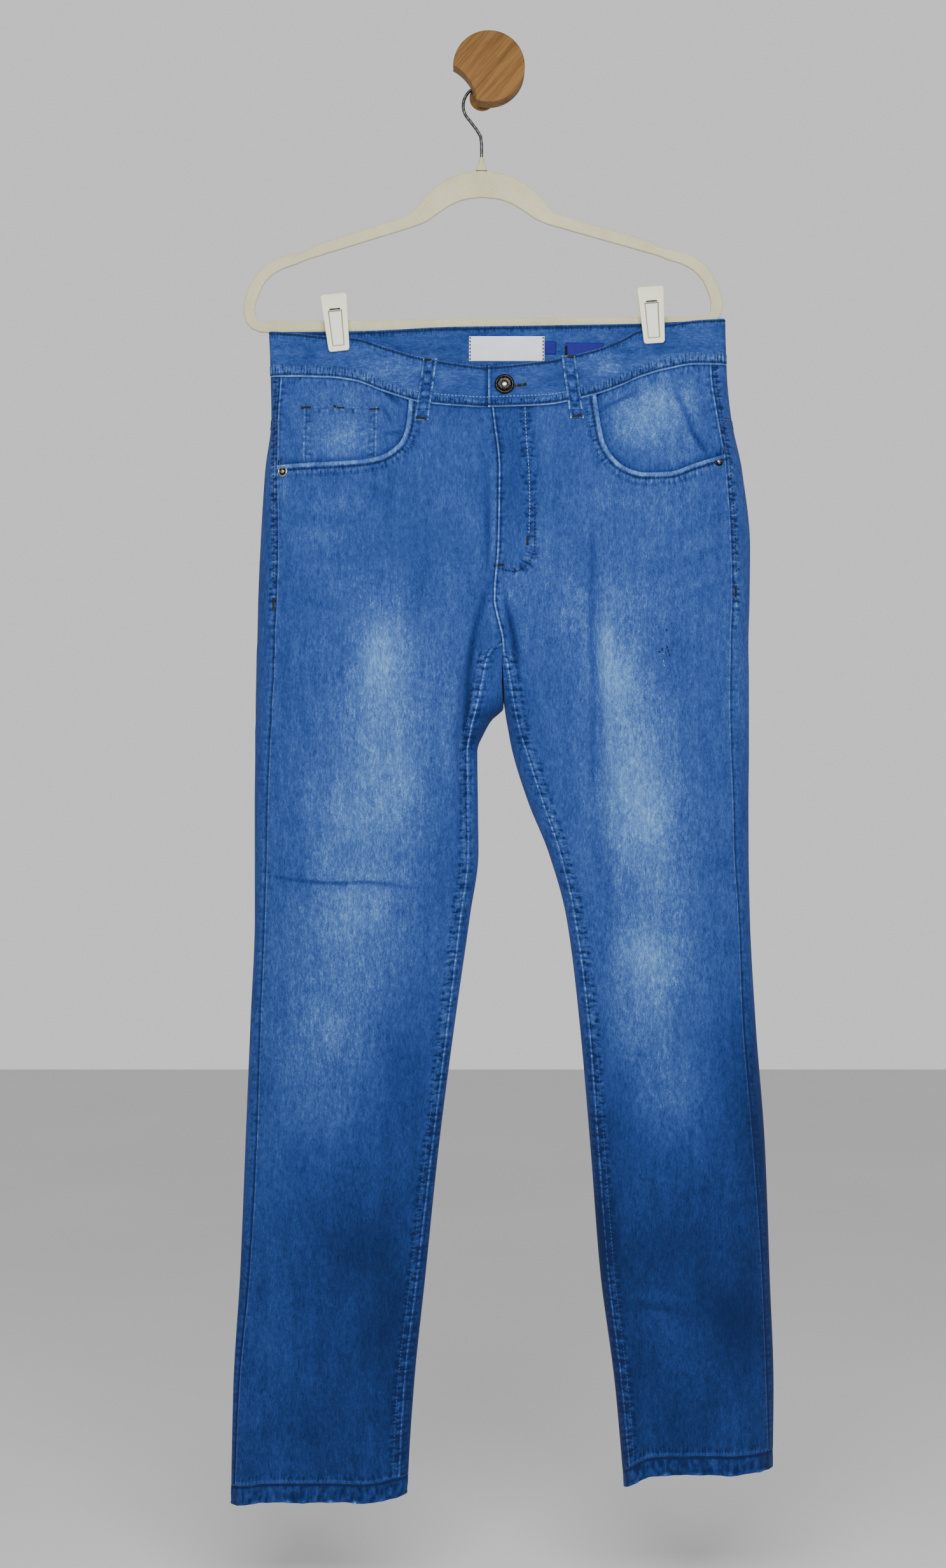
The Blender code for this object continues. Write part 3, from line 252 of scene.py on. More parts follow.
def reach_along(points, axis):
    """Distance run along a line, or along a grid's rows or columns."""
    step = np.linalg.norm(np.diff(points, axis=axis), axis=-1)
    return np.concatenate([np.zeros_like(np.take(step, [0], axis)), np.cumsum(step, axis)], axis)


def along(points, t):
    """Points of a smooth open curve through the points, t from 0 to 1 by distance."""
    points = np.array(points, float)
    reach = reach_along(points, 0)
    return np.stack([hermite(reach, points[:, i], np.asarray(t) * reach[-1]) for i in range(points.shape[1])], -1)


def quarter(t):
    """Rises from 0 to 1 like a quarter of an ellipse."""
    return np.sqrt(np.maximum(0.0, 1 - (1 - clamp(t)) ** 2))


front_band = Table(FRONT_BAND_COLUMNS, FRONT_BAND)
back_band = Table(BACK_BAND_COLUMNS, BACK_BAND)


def waist_front(x):
    """Outer face of the front at the waist: close to the back under the clips, forward between them."""
    left, right = CLIP_X[0] + CLIP_HALF, CLIP_X[1] - CLIP_HALF
    bow = np.sin(pi * clamp((x - left) / (right - left))) ** 1.4
    away = np.maximum(np.maximum(CLIP_X[0] - CLIP_HALF - x, x - CLIP_X[1] - CLIP_HALF), 0)
    return PINCHED_FRONT - WAIST_SAG * bow - WAIST_SIDE * smooth(0, 30, away)


def fold_depth(x, z):
    total = np.zeros(np.broadcast(x, z).shape)
    for row in FOLDS:
        fold = dict(zip(FOLD_COLUMNS, row))
        line = hermite(
            [fold["z_low"], fold["z_mid"], fold["z_top"]],
            [fold["x_low"], fold["x_mid"], fold["x_top"]],
            z,
        )
        ends = np.sin(pi * clamp((z - fold["z_low"]) / (fold["z_top"] - fold["z_low"]))) ** 0.8
        off = clamp(np.abs(x - line) / fold["half_width"])
        total = total + fold["depth"] * ends * (1 + np.cos(pi * off)) / 2
    return total


def stack(x, y, z):
    return np.stack(np.broadcast_arrays(x, y, z), -1).astype(float)


class Leg:
    """One half of the jeans. side is -1 on the viewer's left and 1 on the right."""

    def __init__(self, name, side, outline, depth, mouth, hem):
        self.name, self.side, self.mouth, self.hem = name, side, mouth, hem
        self.outline = Table(OUTLINE_COLUMNS, outline)
        self.depth = Table(DEPTH_COLUMNS, depth)

    def line(self, column, z):
        return self.outline.read(column, z)

    def middle(self, face, z):
        """Where this half meets the other, or the leg's inner silhouette."""
        inner = self.line("inner", z)
        if face == "front":
            return inner
        seat = mix(inner, SEAT_SEAM_X, smooth(SADDLE_Z, SADDLE_Z + 70, z))
        return np.where(z < SADDLE_Z, inner, seat)

    def surface_y(self, face, x, z):
        front, back, edge, rounding = (self.depth.read(column, z) for column in ("front", "back", "edge", "round"))
        pinch = 1 - smooth(PINCH_TOP_Z, PINCH_END_Z, z)
        face_y = mix(front, waist_front(x), pinch) if face == "front" else mix(back, PINCHED_BACK, pinch)
        side_y = mix(edge, WAIST_EDGE_Y, pinch)
        reach = mix(rounding, WAIST_ROUND, pinch)
        from_outer = self.side * (self.line("outer", z) - x)
        from_middle = self.side * (x - self.middle(face, z))
        y = side_y + (face_y - side_y) * quarter(from_outer / reach)
        # Between the crotch point and the saddle the middle sinks from the face to the saddle's fold.
        rise = clamp((z - SADDLE_Z) / (CROTCH_Z - SADDLE_Z))
        sunk = (1 - quarter(rise)) if face == "back" else (1 - rise ** 0.7)
        t = clamp(from_middle / rounding)
        profile = mix(np.sin(pi * t / 2) ** 2, quarter(t), smooth(CROTCH_Z, SADDLE_Z, z))
        floor = np.where(z < SADDLE_Z, edge, mix(edge, SADDLE_Y, smooth(SADDLE_Z - 10, SADDLE_Z, z)))
        y = y + np.where(z < CROTCH_Z, (floor - face_y) * sunk * (1 - profile), 0)
        if face == "front":
            y = y + fold_depth(x, z)
        return y

    def leaned(self, x, y, z):
        """The hem isn't level: the leg's lowest part leans with it."""
        lean = self.hem["slope"] * (x - self.hem["middle"]) * smooth(LEAN_FROM_Z, LEAN_FULL_Z, z)
        knots, lift = np.array(self.hem["bend"], float).T
        return stack(x, y, z + lean + hermite(knots, lift, x) * smooth(BEND_FROM_Z, LEAN_FULL_Z, z))

    def at(self, face, x, z):
        return self.leaned(x, self.surface_y(face, x, z), z)

    def around(self, turn, z):
        """The back panel's way round the leg: turn 0 is the outseam, 2 the outer silhouette, 5 to 9 the flat
        back, 12 the seat seam or the inner silhouette, and 14 the inseam."""
        turn, z = np.broadcast_arrays(np.asarray(turn, float), np.asarray(z, float))
        pinch = 1 - smooth(PINCH_TOP_Z, PINCH_END_Z, z)
        inner_reach = self.depth.read("round", z)
        reach = mix(inner_reach, WAIST_ROUND, pinch)
        outer, outseam = self.line("outer", z), self.line("outseam", z)
        side = self.side
        seam = clamp(side * (outer - outseam) / reach)
        curled = outer - side * reach * (1 - np.cos(np.arccos(1 - seam) * (1 - turn / 2)))
        straight = mix(outseam, outer, np.where(turn < 2, 1 - np.cos(pi / 2 * turn / 2), 1))
        middle = self.middle("back", z)
        inner = self.middle("front", z)
        inseam = clamp(side * (self.line("inseam", z) - inner) / inner_reach)
        x = np.select(
            [turn <= 2, turn <= 5, turn <= 9, turn <= 12],
            [
                np.where(seam >= 1, straight, curled),
                outer - side * reach * (1 - np.cos(pi / 2 * (turn - 2) / 3)),
                mix(outer - side * reach, middle + side * inner_reach, (turn - 5) / 4),
                middle + side * inner_reach * (1 - np.cos(pi / 2 * (12 - turn) / 3)),
            ],
            inner + side * inner_reach * (1 - np.cos(np.arccos(1 - inseam) * (turn - 12) / 2)),
        )
        front = (turn <= 2) | (turn > 12)
        y = np.where(front, self.surface_y("front", x, z), self.surface_y("back", x, z))
        return self.leaned(x, y, z)


left_leg = Leg("left", -1, LEFT_OUTLINE, LEFT_DEPTH, LEFT_MOUTH, LEFT_HEM)
right_leg = Leg("right", 1, RIGHT_OUTLINE, RIGHT_DEPTH, RIGHT_MOUTH, RIGHT_HEM)
LEGS = (left_leg, right_leg)

# ---------------------------------------------------------------- what the photograph shows, by its pixels

PIXEL = 0.598  # millimetres on the plane that the hanger's clips hold
CAMERA_AT = (-8.7, -2115.0, -648.8)
FRAME = (743.5, 1232.0)
FULL = 2100.0
ON_CLOTH = 0.59  # millimetres a pixel on the front of the cloth


def seen(px, py, y):
    """x and z of the point at depth y that shows at a pixel."""
    scale = PIXEL * (y - CAMERA_AT[1]) / FULL
    return CAMERA_AT[0] + (px - FRAME[0]) * scale, CAMERA_AT[2] - (py - FRAME[1]) * scale


def pixel_of(points):
    scale = PIXEL * (points[..., 1] - CAMERA_AT[1]) / FULL
    return (points[..., 0] - CAMERA_AT[0]) / scale + FRAME[0], (CAMERA_AT[2] - points[..., 2]) / scale + FRAME[1]


# Creases: half width in pixels, depth in millimetres (a ridge is negative), change of tone, which is painted shade in
# a hollow and painted light on a ridge, and the line in pixels.
FRONT_CREASES = (
    (9, 1.8, -0.40, ((772, 900), (760, 940), (747, 990), (741, 1024), (737, 1060), (734, 1105), (733, 1150))),
    (8, 1.5, -0.30, ((737, 1075), (732, 1125), (730, 1170), (731, 1215), (734, 1290), (737, 1345))),
    (7, -0.7, 0.14, ((776, 716), (778, 790), (775, 850), (770, 900))),
    (7, 1.2, -0.32, ((789, 915), (796, 950), (806, 992), (811, 1030), (816, 1075))),
    (16, -1.0, 0.05, ((740, 950), (722, 1010), (710, 1070), (704, 1140), (704, 1220))),
    (7, 1.2, -0.18, ((764, 760), (766, 800), (767, 850), (767, 905))),
    (11, -0.8, 0.05, ((752, 800), (753, 870), (748, 925))),
    (10, 1.0, -0.07, ((791, 935), (799, 977), (808, 1010), (814, 1050))),
    (12, -0.8, 0.04, ((806, 925), (816, 975), (826, 1030))),
    (8, 1.1, -0.20, ((932, 800), (931, 880), (931, 960), (932, 1050), (934, 1130), (937, 1220))),
    (16, 1.0, -0.06, ((934, 800), (931, 880), (932, 940), (933, 1050), (935, 1110), (937, 1200), (940, 1300),
                      (946, 1380), (951, 1470), (955, 1560))),
    (20, -1.3, 0.05, ((958, 830), (955, 930), (956, 1050), (960, 1200), (966, 1330), (974, 1440))),
    (5, 1.3, -0.30, ((420, 1376), (447, 1381), (475, 1385), (507, 1388), (540, 1389), (566, 1387), (590, 1388),
                     (618, 1392), (658, 1397))),
    (16, -1.4, 0.06, ((425, 1360), (480, 1369), (540, 1373), (600, 1374), (650, 1381))),
    (18, -1.0, 0.03, ((430, 1402), (490, 1410), (550, 1412), (620, 1414))),
    (12, 0.8, -0.07, ((440, 1290), (520, 1302), (600, 1296))),
    (14, 0.7, -0.05, ((470, 1560), (540, 1570), (630, 1556))),
    (11, 0.9, -0.08, ((979, 2053), (1009, 2051), (1040, 2055), (1070, 2061), (1096, 2064))),
    (13, -0.8, 0.05, ((985, 2036), (1030, 2036), (1090, 2046))),
    (10, 0.8, -0.06, ((1099, 2214), (1120, 2208), (1142, 2200))),
    (13, 0.9, -0.07, ((384, 2258), (412, 2253), (444, 2244))),
    (14, 0.7, -0.05, ((470, 2132), (500, 2126), (536, 2128))),
    (12, 0.7, -0.06, ((600, 2030), (640, 2040), (668, 2062))),
    (13, 0.7, -0.05, ((1130, 1905), (1165, 1892), (1190, 1886))),
    (12, 0.8, -0.07, ((437, 800), (470, 812), (520, 818), (580, 812))),
    (12, 0.8, -0.06, ((440, 862), (490, 874), (560, 874), (640, 858))),
    (12, 0.8, -0.06, ((436, 925), (500, 948), (560, 952))),
    (13, -0.6, 0.04, ((440, 835), (500, 846), (580, 842))),
    (12, 0.8, -0.07, ((1000, 842), (1060, 838), (1110, 822), (1146, 800))),
    (12, 0.9, -0.08, ((985, 902), (1040, 896), (1090, 880), (1143, 856))),
    (12, 0.8, -0.06, ((1030, 950), (1080, 940), (1140, 916))),
    (13, -0.6, 0.04, ((1010, 870), (1070, 862), (1130, 838))),
    (10, 0.6, -0.08, ((560, 760), (610, 774), (650, 800))),
    (13, 0.8, -0.05, ((690, 1560), (650, 1580), (600, 1588))),
    (12, 0.7, -0.05, ((955, 1700), (1010, 1712), (1090, 1704))),
    (12, 0.7, -0.05, ((1080, 1380), (1130, 1366), (1180, 1340))),
    (14, 0.8, -0.06, ((880, 1330), (900, 1390), (912, 1460))),
)
BACK_CREASES = (
    (16, 1.6, -0.08, ((520, 1005), (580, 1030), (650, 1035), (720, 1015))),
    (16, 1.6, -0.08, ((830, 1015), (900, 1040), (980, 1032), (1080, 1000))),
    (14, 1.2, -0.06, ((480, 1060), (560, 1092), (640, 1096))),
    (14, 1.2, -0.06, ((900, 1100), (990, 1092), (1090, 1060))),
    (15, 1.5, -0.08, ((430, 1452), (500, 1474), (580, 1472), (650, 1452))),
    (13, 1.0, -0.06, ((450, 1520), (540, 1534), (620, 1520))),
    (15, 1.4, -0.08, ((950, 1470), (1020, 1492), (1100, 1486), (1170, 1462))),
    (13, 1.0, -0.06, ((965, 1540), (1040, 1556), (1120, 1540))),
    (13, 1.0, -0.05, ((400, 2110), (470, 2122), (560, 2108))),
    (13, 1.0, -0.05, ((1010, 2070), (1080, 2084), (1170, 2070))),
    (16, 1.2, -0.05, ((560, 1150), (556, 1260), (566, 1380))),
    (16, 1.2, -0.05, ((1050, 1150), (1062, 1260), (1058, 1380))),
)

# Places of the front and of the back worn pale, and darker places that are painted shade: middle, reach across and
# down in pixels, and tone.
FRONT_FADES_AND_SHADE = (
    (600, 1020, 48, 78, 0.36), (598, 1165, 78, 115, 0.33), (590, 1290, 82, 90, 0.20), (558, 1440, 80, 95, 0.30),
    (520, 1620, 75, 110, 0.26), (505, 1750, 70, 80, 0.14), (400, 1840, 60, 140, 0.14), (400, 2160, 70, 220, 0.10),
    (525, 800, 45, 110, 0.08), (445, 930, 40, 60, -0.06), (606, 800, 30, 70, -0.04), (725, 1380, 30, 120, -0.08),
    (970, 950, 95, 60, 0.16), (985, 1070, 40, 60, 0.28), (1005, 1210, 62, 100, 0.34), (1015, 1310, 70, 80, 0.26),
    (1020, 1400, 60, 50, 0.12), (1020, 1500, 62, 70, 0.40), (1012, 1610, 60, 70, 0.24), (1045, 1720, 60, 70, 0.22),
    (1165, 1690, 40, 120, -0.14), (930, 1640, 26, 90, -0.10), (820, 1120, 30, 60, -0.14), (800, 760, 44, 130, -0.09),
    (1020, 800, 130, 100, 0.08), (890, 1000, 40, 60, 0.08), (555, 1960, 50, 60, -0.08), (1060, 1960, 90, 60, -0.06),
    (1060, 2090, 60, 60, 0.06), (1165, 2100, 40, 80, -0.07), (620, 2120, 30, 160, -0.06), (1150, 2250, 30, 40, 0.08),
    (948, 1060, 34, 95, 0.20), (975, 1175, 36, 60, 0.10), (510, 1280, 40, 60, 0.10), (848, 870, 46, 60, 0.10),
    (796, 940, 26, 30, 0.14), (1160, 1040, 30, 130, 0.10), (640, 1690, 40, 90, -0.14), (970, 1770, 36, 60, -0.14),
    (945, 1930, 26, 70, -0.20), (1130, 2060, 60, 60, -0.14), (1190, 1760, 30, 300, -0.10), (590, 1980, 40, 60, -0.08),
    (590, 2100, 40, 60, -0.10), (985, 2120, 60, 120, -0.08), (1100, 2250, 80, 60, -0.07), (470, 2250, 80, 60, -0.06),
    (690, 1030, 30, 90, 0.08), (948, 1000, 26, 36, 0.12), (945, 1965, 22, 45, -0.14), (655, 850, 24, 60, -0.08),
    (584, 1240, 26, 30, -0.09), (1056, 1390, 34, 40, 0.09), (946, 1240, 26, 40, 0.08), (770, 1010, 24, 30, -0.10),
    (440, 765, 22, 26, 0.10), (512, 762, 24, 26, -0.09), (545, 1300, 30, 40, 0.08),
)
BACK_FADES_AND_SHADE = (
    (610, 860, 90, 90, 0.16), (930, 860, 90, 90, 0.16), (560, 1180, 80, 160, 0.14), (1050, 1180, 80, 160, 0.14),
    (540, 1520, 70, 160, 0.10), (1060, 1520, 70, 160, 0.10), (720, 1160, 40, 190, -0.08), (880, 1160, 40, 190, -0.08),
)
# Worn places of the pocket facings, and darker places of painted shade by the mouth's lip and the outseam: middle,
# reach across and down in pixels, and tone.
FACING_FADES_AND_SHADE = (
    (1015, 662, 60, 50, 0.30), (1046, 624, 46, 26, 0.20), (1090, 640, 26, 60, 0.10), (985, 724, 50, 20, -0.14),
    (1108, 660, 16, 60, -0.10), (950, 680, 14, 40, -0.08), (540, 690, 46, 34, 0.22), (560, 625, 60, 18, 0.12),
    (612, 690, 20, 36, -0.04), (448, 680, 22, 70, -0.04),
)
BAND_FADES = (
    (600, 576, 62, 30, 0.22), (470, 586, 60, 12, 0.14), (700, 598, 44, 16, 0.14), (812, 590, 40, 22, 0.16),
    (870, 572, 26, 14, -0.10), (955, 575, 50, 24, 0.18), (1060, 566, 60, 14, 0.12), (1085, 525, 50, 20, 0.06),
    (640, 560, 20, 10, -0.08),
)


def beside_line(x, y, path):
    """Distance from a line of straight steps, and the run along it."""
    path = np.array(path, float)
    reach = reach_along(path, 0)
    far, run = np.full(x.shape, 1e6), np.zeros(x.shape)
    for i in range(len(path) - 1):
        a, d = path[i], path[i + 1] - path[i]
        t = clamp(((x - a[0]) * d[0] + (y - a[1]) * d[1]) / (d @ d))
        away = np.hypot(x - a[0] - t * d[0], y - a[1] - t * d[1])
        run = np.where(away < far, reach[i] + t * (reach[i + 1] - reach[i]), run)
        far = np.minimum(far, away)
    return far, run, reach[-1]


def stroke(px, py, path, half):
    """1 on a given line, 0 from half away, fading towards its ends."""
    xs, ys = zip(*path)
    near = (px > min(xs) - half) & (px < max(xs) + half) & (py > min(ys) - half) & (py < max(ys) + half)
    on = np.zeros(px.shape)
    if near.any():
        far, run, length = beside_line(px[near], py[near], path)
        ends = np.sin(pi * clamp(run / length, 0.02, 0.98)) ** 0.6
        on[near] = ends * (1 + np.cos(pi * clamp(far / half))) / 2
    return on


def creased(px, py, creases):
    """Depth of all the creases at these pixels, and their tone: painted shade in the hollows, painted light on the
    ridges.
    """
    depth, tone = np.zeros(px.shape), np.zeros(px.shape)
    for half, deep, painted_shading, path in creases:
        on = stroke(px, py, path, half)
        depth += deep * on
        tone += painted_shading * on
    return depth, tone


def fades_and_shade_at(px, py, tone_spots):
    tone = np.zeros(px.shape)
    for x, y, across, down, amount in tone_spots:
        tone += amount * np.exp(-(((px - x) / across) ** 2 + ((py - y) / down) ** 2))
    return tone


def tone_at(points, face):
    """How light the denim is: 0 dark, 1 pale. It grows darker towards the bottom of the legs, partly from their wash
    and partly as painted shade where the light falls off.
    """
    px, py = pixel_of(points)
    tone_spots = FRONT_FADES_AND_SHADE if face == "front" else BACK_FADES_AND_SHADE
    return 0.29 + fades_and_shade_at(px, py, tone_spots) - 0.25 * smooth(1500, 1980, py)


# ---------------------------------------------------------------- shells of cloth

def normals_of(points, wrap):
    if wrap:
        across = np.roll(points, -1, 1) - np.roll(points, 1, 1)
    else:
        across = np.gradient(points, axis=1)
    down = np.gradient(points, axis=0)
    return unit(np.cross(across, down))


def sheet_of(points, outwards, wrap=False):
    """A grid of cloth: its points, and normals on the side of outwards (points in, directions out)."""
    normal = normals_of(points, wrap)
    sign = 1.0 if (normal * outwards(points)).sum(-1).mean() > 0 else -1.0
    return {"at": points, "normal": normal * sign, "sign": sign, "wrap": wrap, "values": {}}


def edge_distances(points):
    """Distance of each grid point from the grid's left, right, first and last edge."""
    across, down = reach_along(points, 1), reach_along(points, 0)
    return across, across[:, -1:] - across, down, down[-1:] - down


def raised(grid, height):
    grid["at"] = grid["at"] + grid["normal"] * height[..., None]


def drawn_in(grid, *edges, gap=SEAM / 3):
    """Draws the grid's edges in, which leaves the gap along a seam."""
    at = grid["at"]
    rims = {"first": (at[0], at[1]), "last": (at[-1], at[-2])}
    rims |= {"left": (at[:, 0], at[:, 1]), "right": (at[:, -1], at[:, -2])}
    for edge in edges:
        rim, beside = rims[edge]
        rim += unit(beside - rim) * gap


def shell(name, parts, thickness, material, node, reverse):
    """A closed wall of cloth on one or more grids. Grid points that coincide are shared. reverse is how much
    its inner side shows the paler reverse of the cloth."""
    points, normals, quads, values = [], [], [], {}
    names = sorted({key for grid in parts for key in grid["values"]})
    start = 0
    for grid in parts:
        rows, columns = grid["at"].shape[:2]
        index = start + np.arange(rows * columns).reshape(rows, columns)
        if grid["wrap"]:
            index = np.concatenate([index, index[:, :1]], 1)
        a, b, c, d = index[:-1, :-1], index[1:, :-1], index[1:, 1:], index[:-1, 1:]
        face = (a, d, c, b) if grid["sign"] > 0 else (a, b, c, d)
        quads.append(np.stack([f.ravel() for f in face], 1))
        points.append(grid["at"].reshape(-1, 3))
        normals.append(grid["normal"].reshape(-1, 3))
        for key in names:
            wide = 3 if key == "seam" else 1
            given = grid["values"].get(key, np.zeros((rows, columns, wide)))
            values.setdefault(key, []).append(np.asarray(given, float).reshape(-1, wide))
        start += rows * columns
    points, normals, quads = np.concatenate(points), np.concatenate(normals), np.concatenate(quads)
    values = {key: np.concatenate(value) for key, value in values.items()}
    _, kept, place = np.unique(np.round(points, 3), axis=0, return_index=True, return_inverse=True)
    place = place.reshape(-1)
    summed = np.zeros((len(kept), 3))
    np.add.at(summed, place, normals)
    normals = unit(summed)
    points, quads = points[kept], place[quads]
    values = {key: value[kept] for key, value in values.items()}
    count = len(points)
    edges = np.concatenate([quads[:, [i, (i + 1) % 4]] for i in range(4)])
    keys = np.sort(edges, axis=1)
    keys = keys[:, 0] * count + keys[:, 1]
    _, first, uses = np.unique(keys, return_index=True, return_counts=True)
    rim = edges[first[uses == 1]]
    rim = np.stack([rim[:, 1], rim[:, 0], rim[:, 0] + count, rim[:, 1] + count], 1)
    faces = np.concatenate([quads, quads[:, ::-1] + count, rim])
    points = np.concatenate([points, points - normals * thickness])
    values = {key: np.concatenate([value, value]) for key, value in values.items()}
    values["inside"] = np.repeat([0.0, reverse], count)[:, None]
    return piece(name, points, faces, material, values, node)


def piece(name, points, faces, material, values=None, node=None, sharp=60):
    data = bpy.data.meshes.new(name)
    data.from_pydata((np.asarray(points) * MM).tolist(), [], [list(f) for f in faces])
    for key, value in (values or {}).items():
        vector = value.shape[1] == 3
        layer = data.attributes.new(key, "FLOAT_VECTOR" if vector else "FLOAT", "POINT")
        layer.data.foreach_set("vector" if vector else "value", np.ascontiguousarray(value, np.float32).ravel())
    data.materials.append(material)
    data.shade_smooth()
    data.set_sharp_from_angle(angle=radians(sharp))
    made = bpy.data.objects.new(name, data)
    bpy.context.scene.collection.objects.link(made)
    return settle(made, node)


def settle(made, node=None):
    """Puts a piece on the model's one body, in place of its plain solid."""
    if node:
        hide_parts(node)
    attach(made, "root")
    return made


def leg_outward(leg):
    def outwards(points):
        z = points[..., 2]
        middle_x = (leg.line("outer", z) + leg.line("inner", z)) / 2
        return stack(points[..., 0] - middle_x, 6 * (points[..., 1] - leg.depth.read("edge", z)), 0)

    return outwards


EDGE_STEPS = np.array((0, 0.3, 0.7, 1.2, 1.8, 2.5, 3.3, 4.2, 5.2, 6.3, 7.4, 8.3, 9.2, 10.4, 12.2))


def spaced(length, step, first=True, last=True):
    """Stations over a length, close together near its ends, from 0 to 1."""
    close = EDGE_STEPS[EDGE_STEPS < length / 2 - step / 4]
    low = close[-1] if first else 0.0
    high = length - (close[-1] if last else 0.0)
    inner = np.linspace(low, high, max(2, int(round((high - low) / step)) + 1))
    parts = [close[:-1]] if first else []
    parts.append(inner)
    if last:
        parts.append(length - close[-2::-1])
    return np.concatenate(parts) / length


def bump_at(far, where, half, height):
    """A soft ridge at a distance from an edge."""
    return height * (1 + np.cos(pi * clamp(np.abs(far - where) / half))) / 2


def worn_edge(far):
    """Height and tone of a folded edge: rounded over, pale on its crown."""
    return -0.35 * (1 - quarter(far / 0.9)) , 0.34 * smooth(1.9, 0.5, far)


# ---------------------------------------------------------------- finishes

def add(tree, kind, inputs=None, **settings):
    node = tree.nodes.new(kind)
    for key, value in settings.items():
        setattr(node, key, value)
    for key, value in (inputs or {}).items():
        socket = node.inputs[key]
        if isinstance(value, bpy.types.NodeSocket):
            tree.links.new(value, socket)
        else:
            socket.default_value = value
    return node


def sums(tree, operation, a, b=0.0, c=0.0):
    return add(tree, "ShaderNodeMath", {0: a, 1: b, 2: c}, operation=operation).outputs[0]


def times(tree, a, b, plus=0.0):
    return sums(tree, "MULTIPLY_ADD", a, b, plus)


def finish_of(name, roughness, metallic=0.0, sheen=0.0, specular=0.5):
    made = bpy.data.materials.new(name)
    made.use_nodes = True
    tree = made.node_tree
    shader = tree.nodes["Principled BSDF"]
    shader.inputs["Roughness"].default_value = roughness
    shader.inputs["Metallic"].default_value = metallic
    shader.inputs["Sheen Weight"].default_value = sheen
    shader.inputs["Sheen Roughness"].default_value = 0.5
    shader.inputs["Specular IOR Level"].default_value = specular
    where = add(tree, "ShaderNodeTexCoord").outputs["Object"]
    return made, tree, shader, where


def grain_noise(tree, where, scale, detail=2.0, roughness=0.5, move=(0, 0, 0)):
    """Noise stretched by a scale for each direction, per metre."""
    place = add(tree, "ShaderNodeMapping", {"Vector": where, "Scale": scale, "Location": move}).outputs[0]
    noise = {"Vector": place, "Scale": 1.0, "Detail": detail, "Roughness": roughness}
    return add(tree, "ShaderNodeTexNoise", noise).outputs["Fac"]


def colours(tree, factor, stops):
    ramp = add(tree, "ShaderNodeValToRGB", {"Fac": factor})
    elements = ramp.color_ramp.elements
    while len(elements) < len(stops):
        elements.new(0.5)
    for element, (at, colour) in zip(elements, stops):
        element.position = at
        element.color = (*colour, 1)
    return ramp.outputs["Color"]


def bumped(tree, shader, height, distance=MM):
    bump = add(tree, "ShaderNodeBump", {"Height": height, "Distance": distance, "Strength": 1.0})
    tree.links.new(bump.outputs["Normal"], shader.inputs["Normal"])


# How strong the long streaks are: down the panels, and along the waistband.
STREAK = {"down": 0.26, "across": 0.46}
DENIM_TONES = (
    (0.0, (0.004, 0.015, 0.080)),
    (0.12, (0.008, 0.027, 0.125)),
    (0.25, (0.014, 0.043, 0.192)),
    (0.38, (0.023, 0.062, 0.236)),
    (0.50, (0.034, 0.086, 0.290)),
    (0.62, (0.054, 0.125, 0.350)),
    (0.75, (0.088, 0.205, 0.465)),
    (0.87, (0.150, 0.310, 0.600)),
    (1.0, (0.340, 0.530, 0.760)),
)
REVERSE_TONES = ((0.0, (0.13, 0.19, 0.30)), (1.0, (0.42, 0.47, 0.54)))


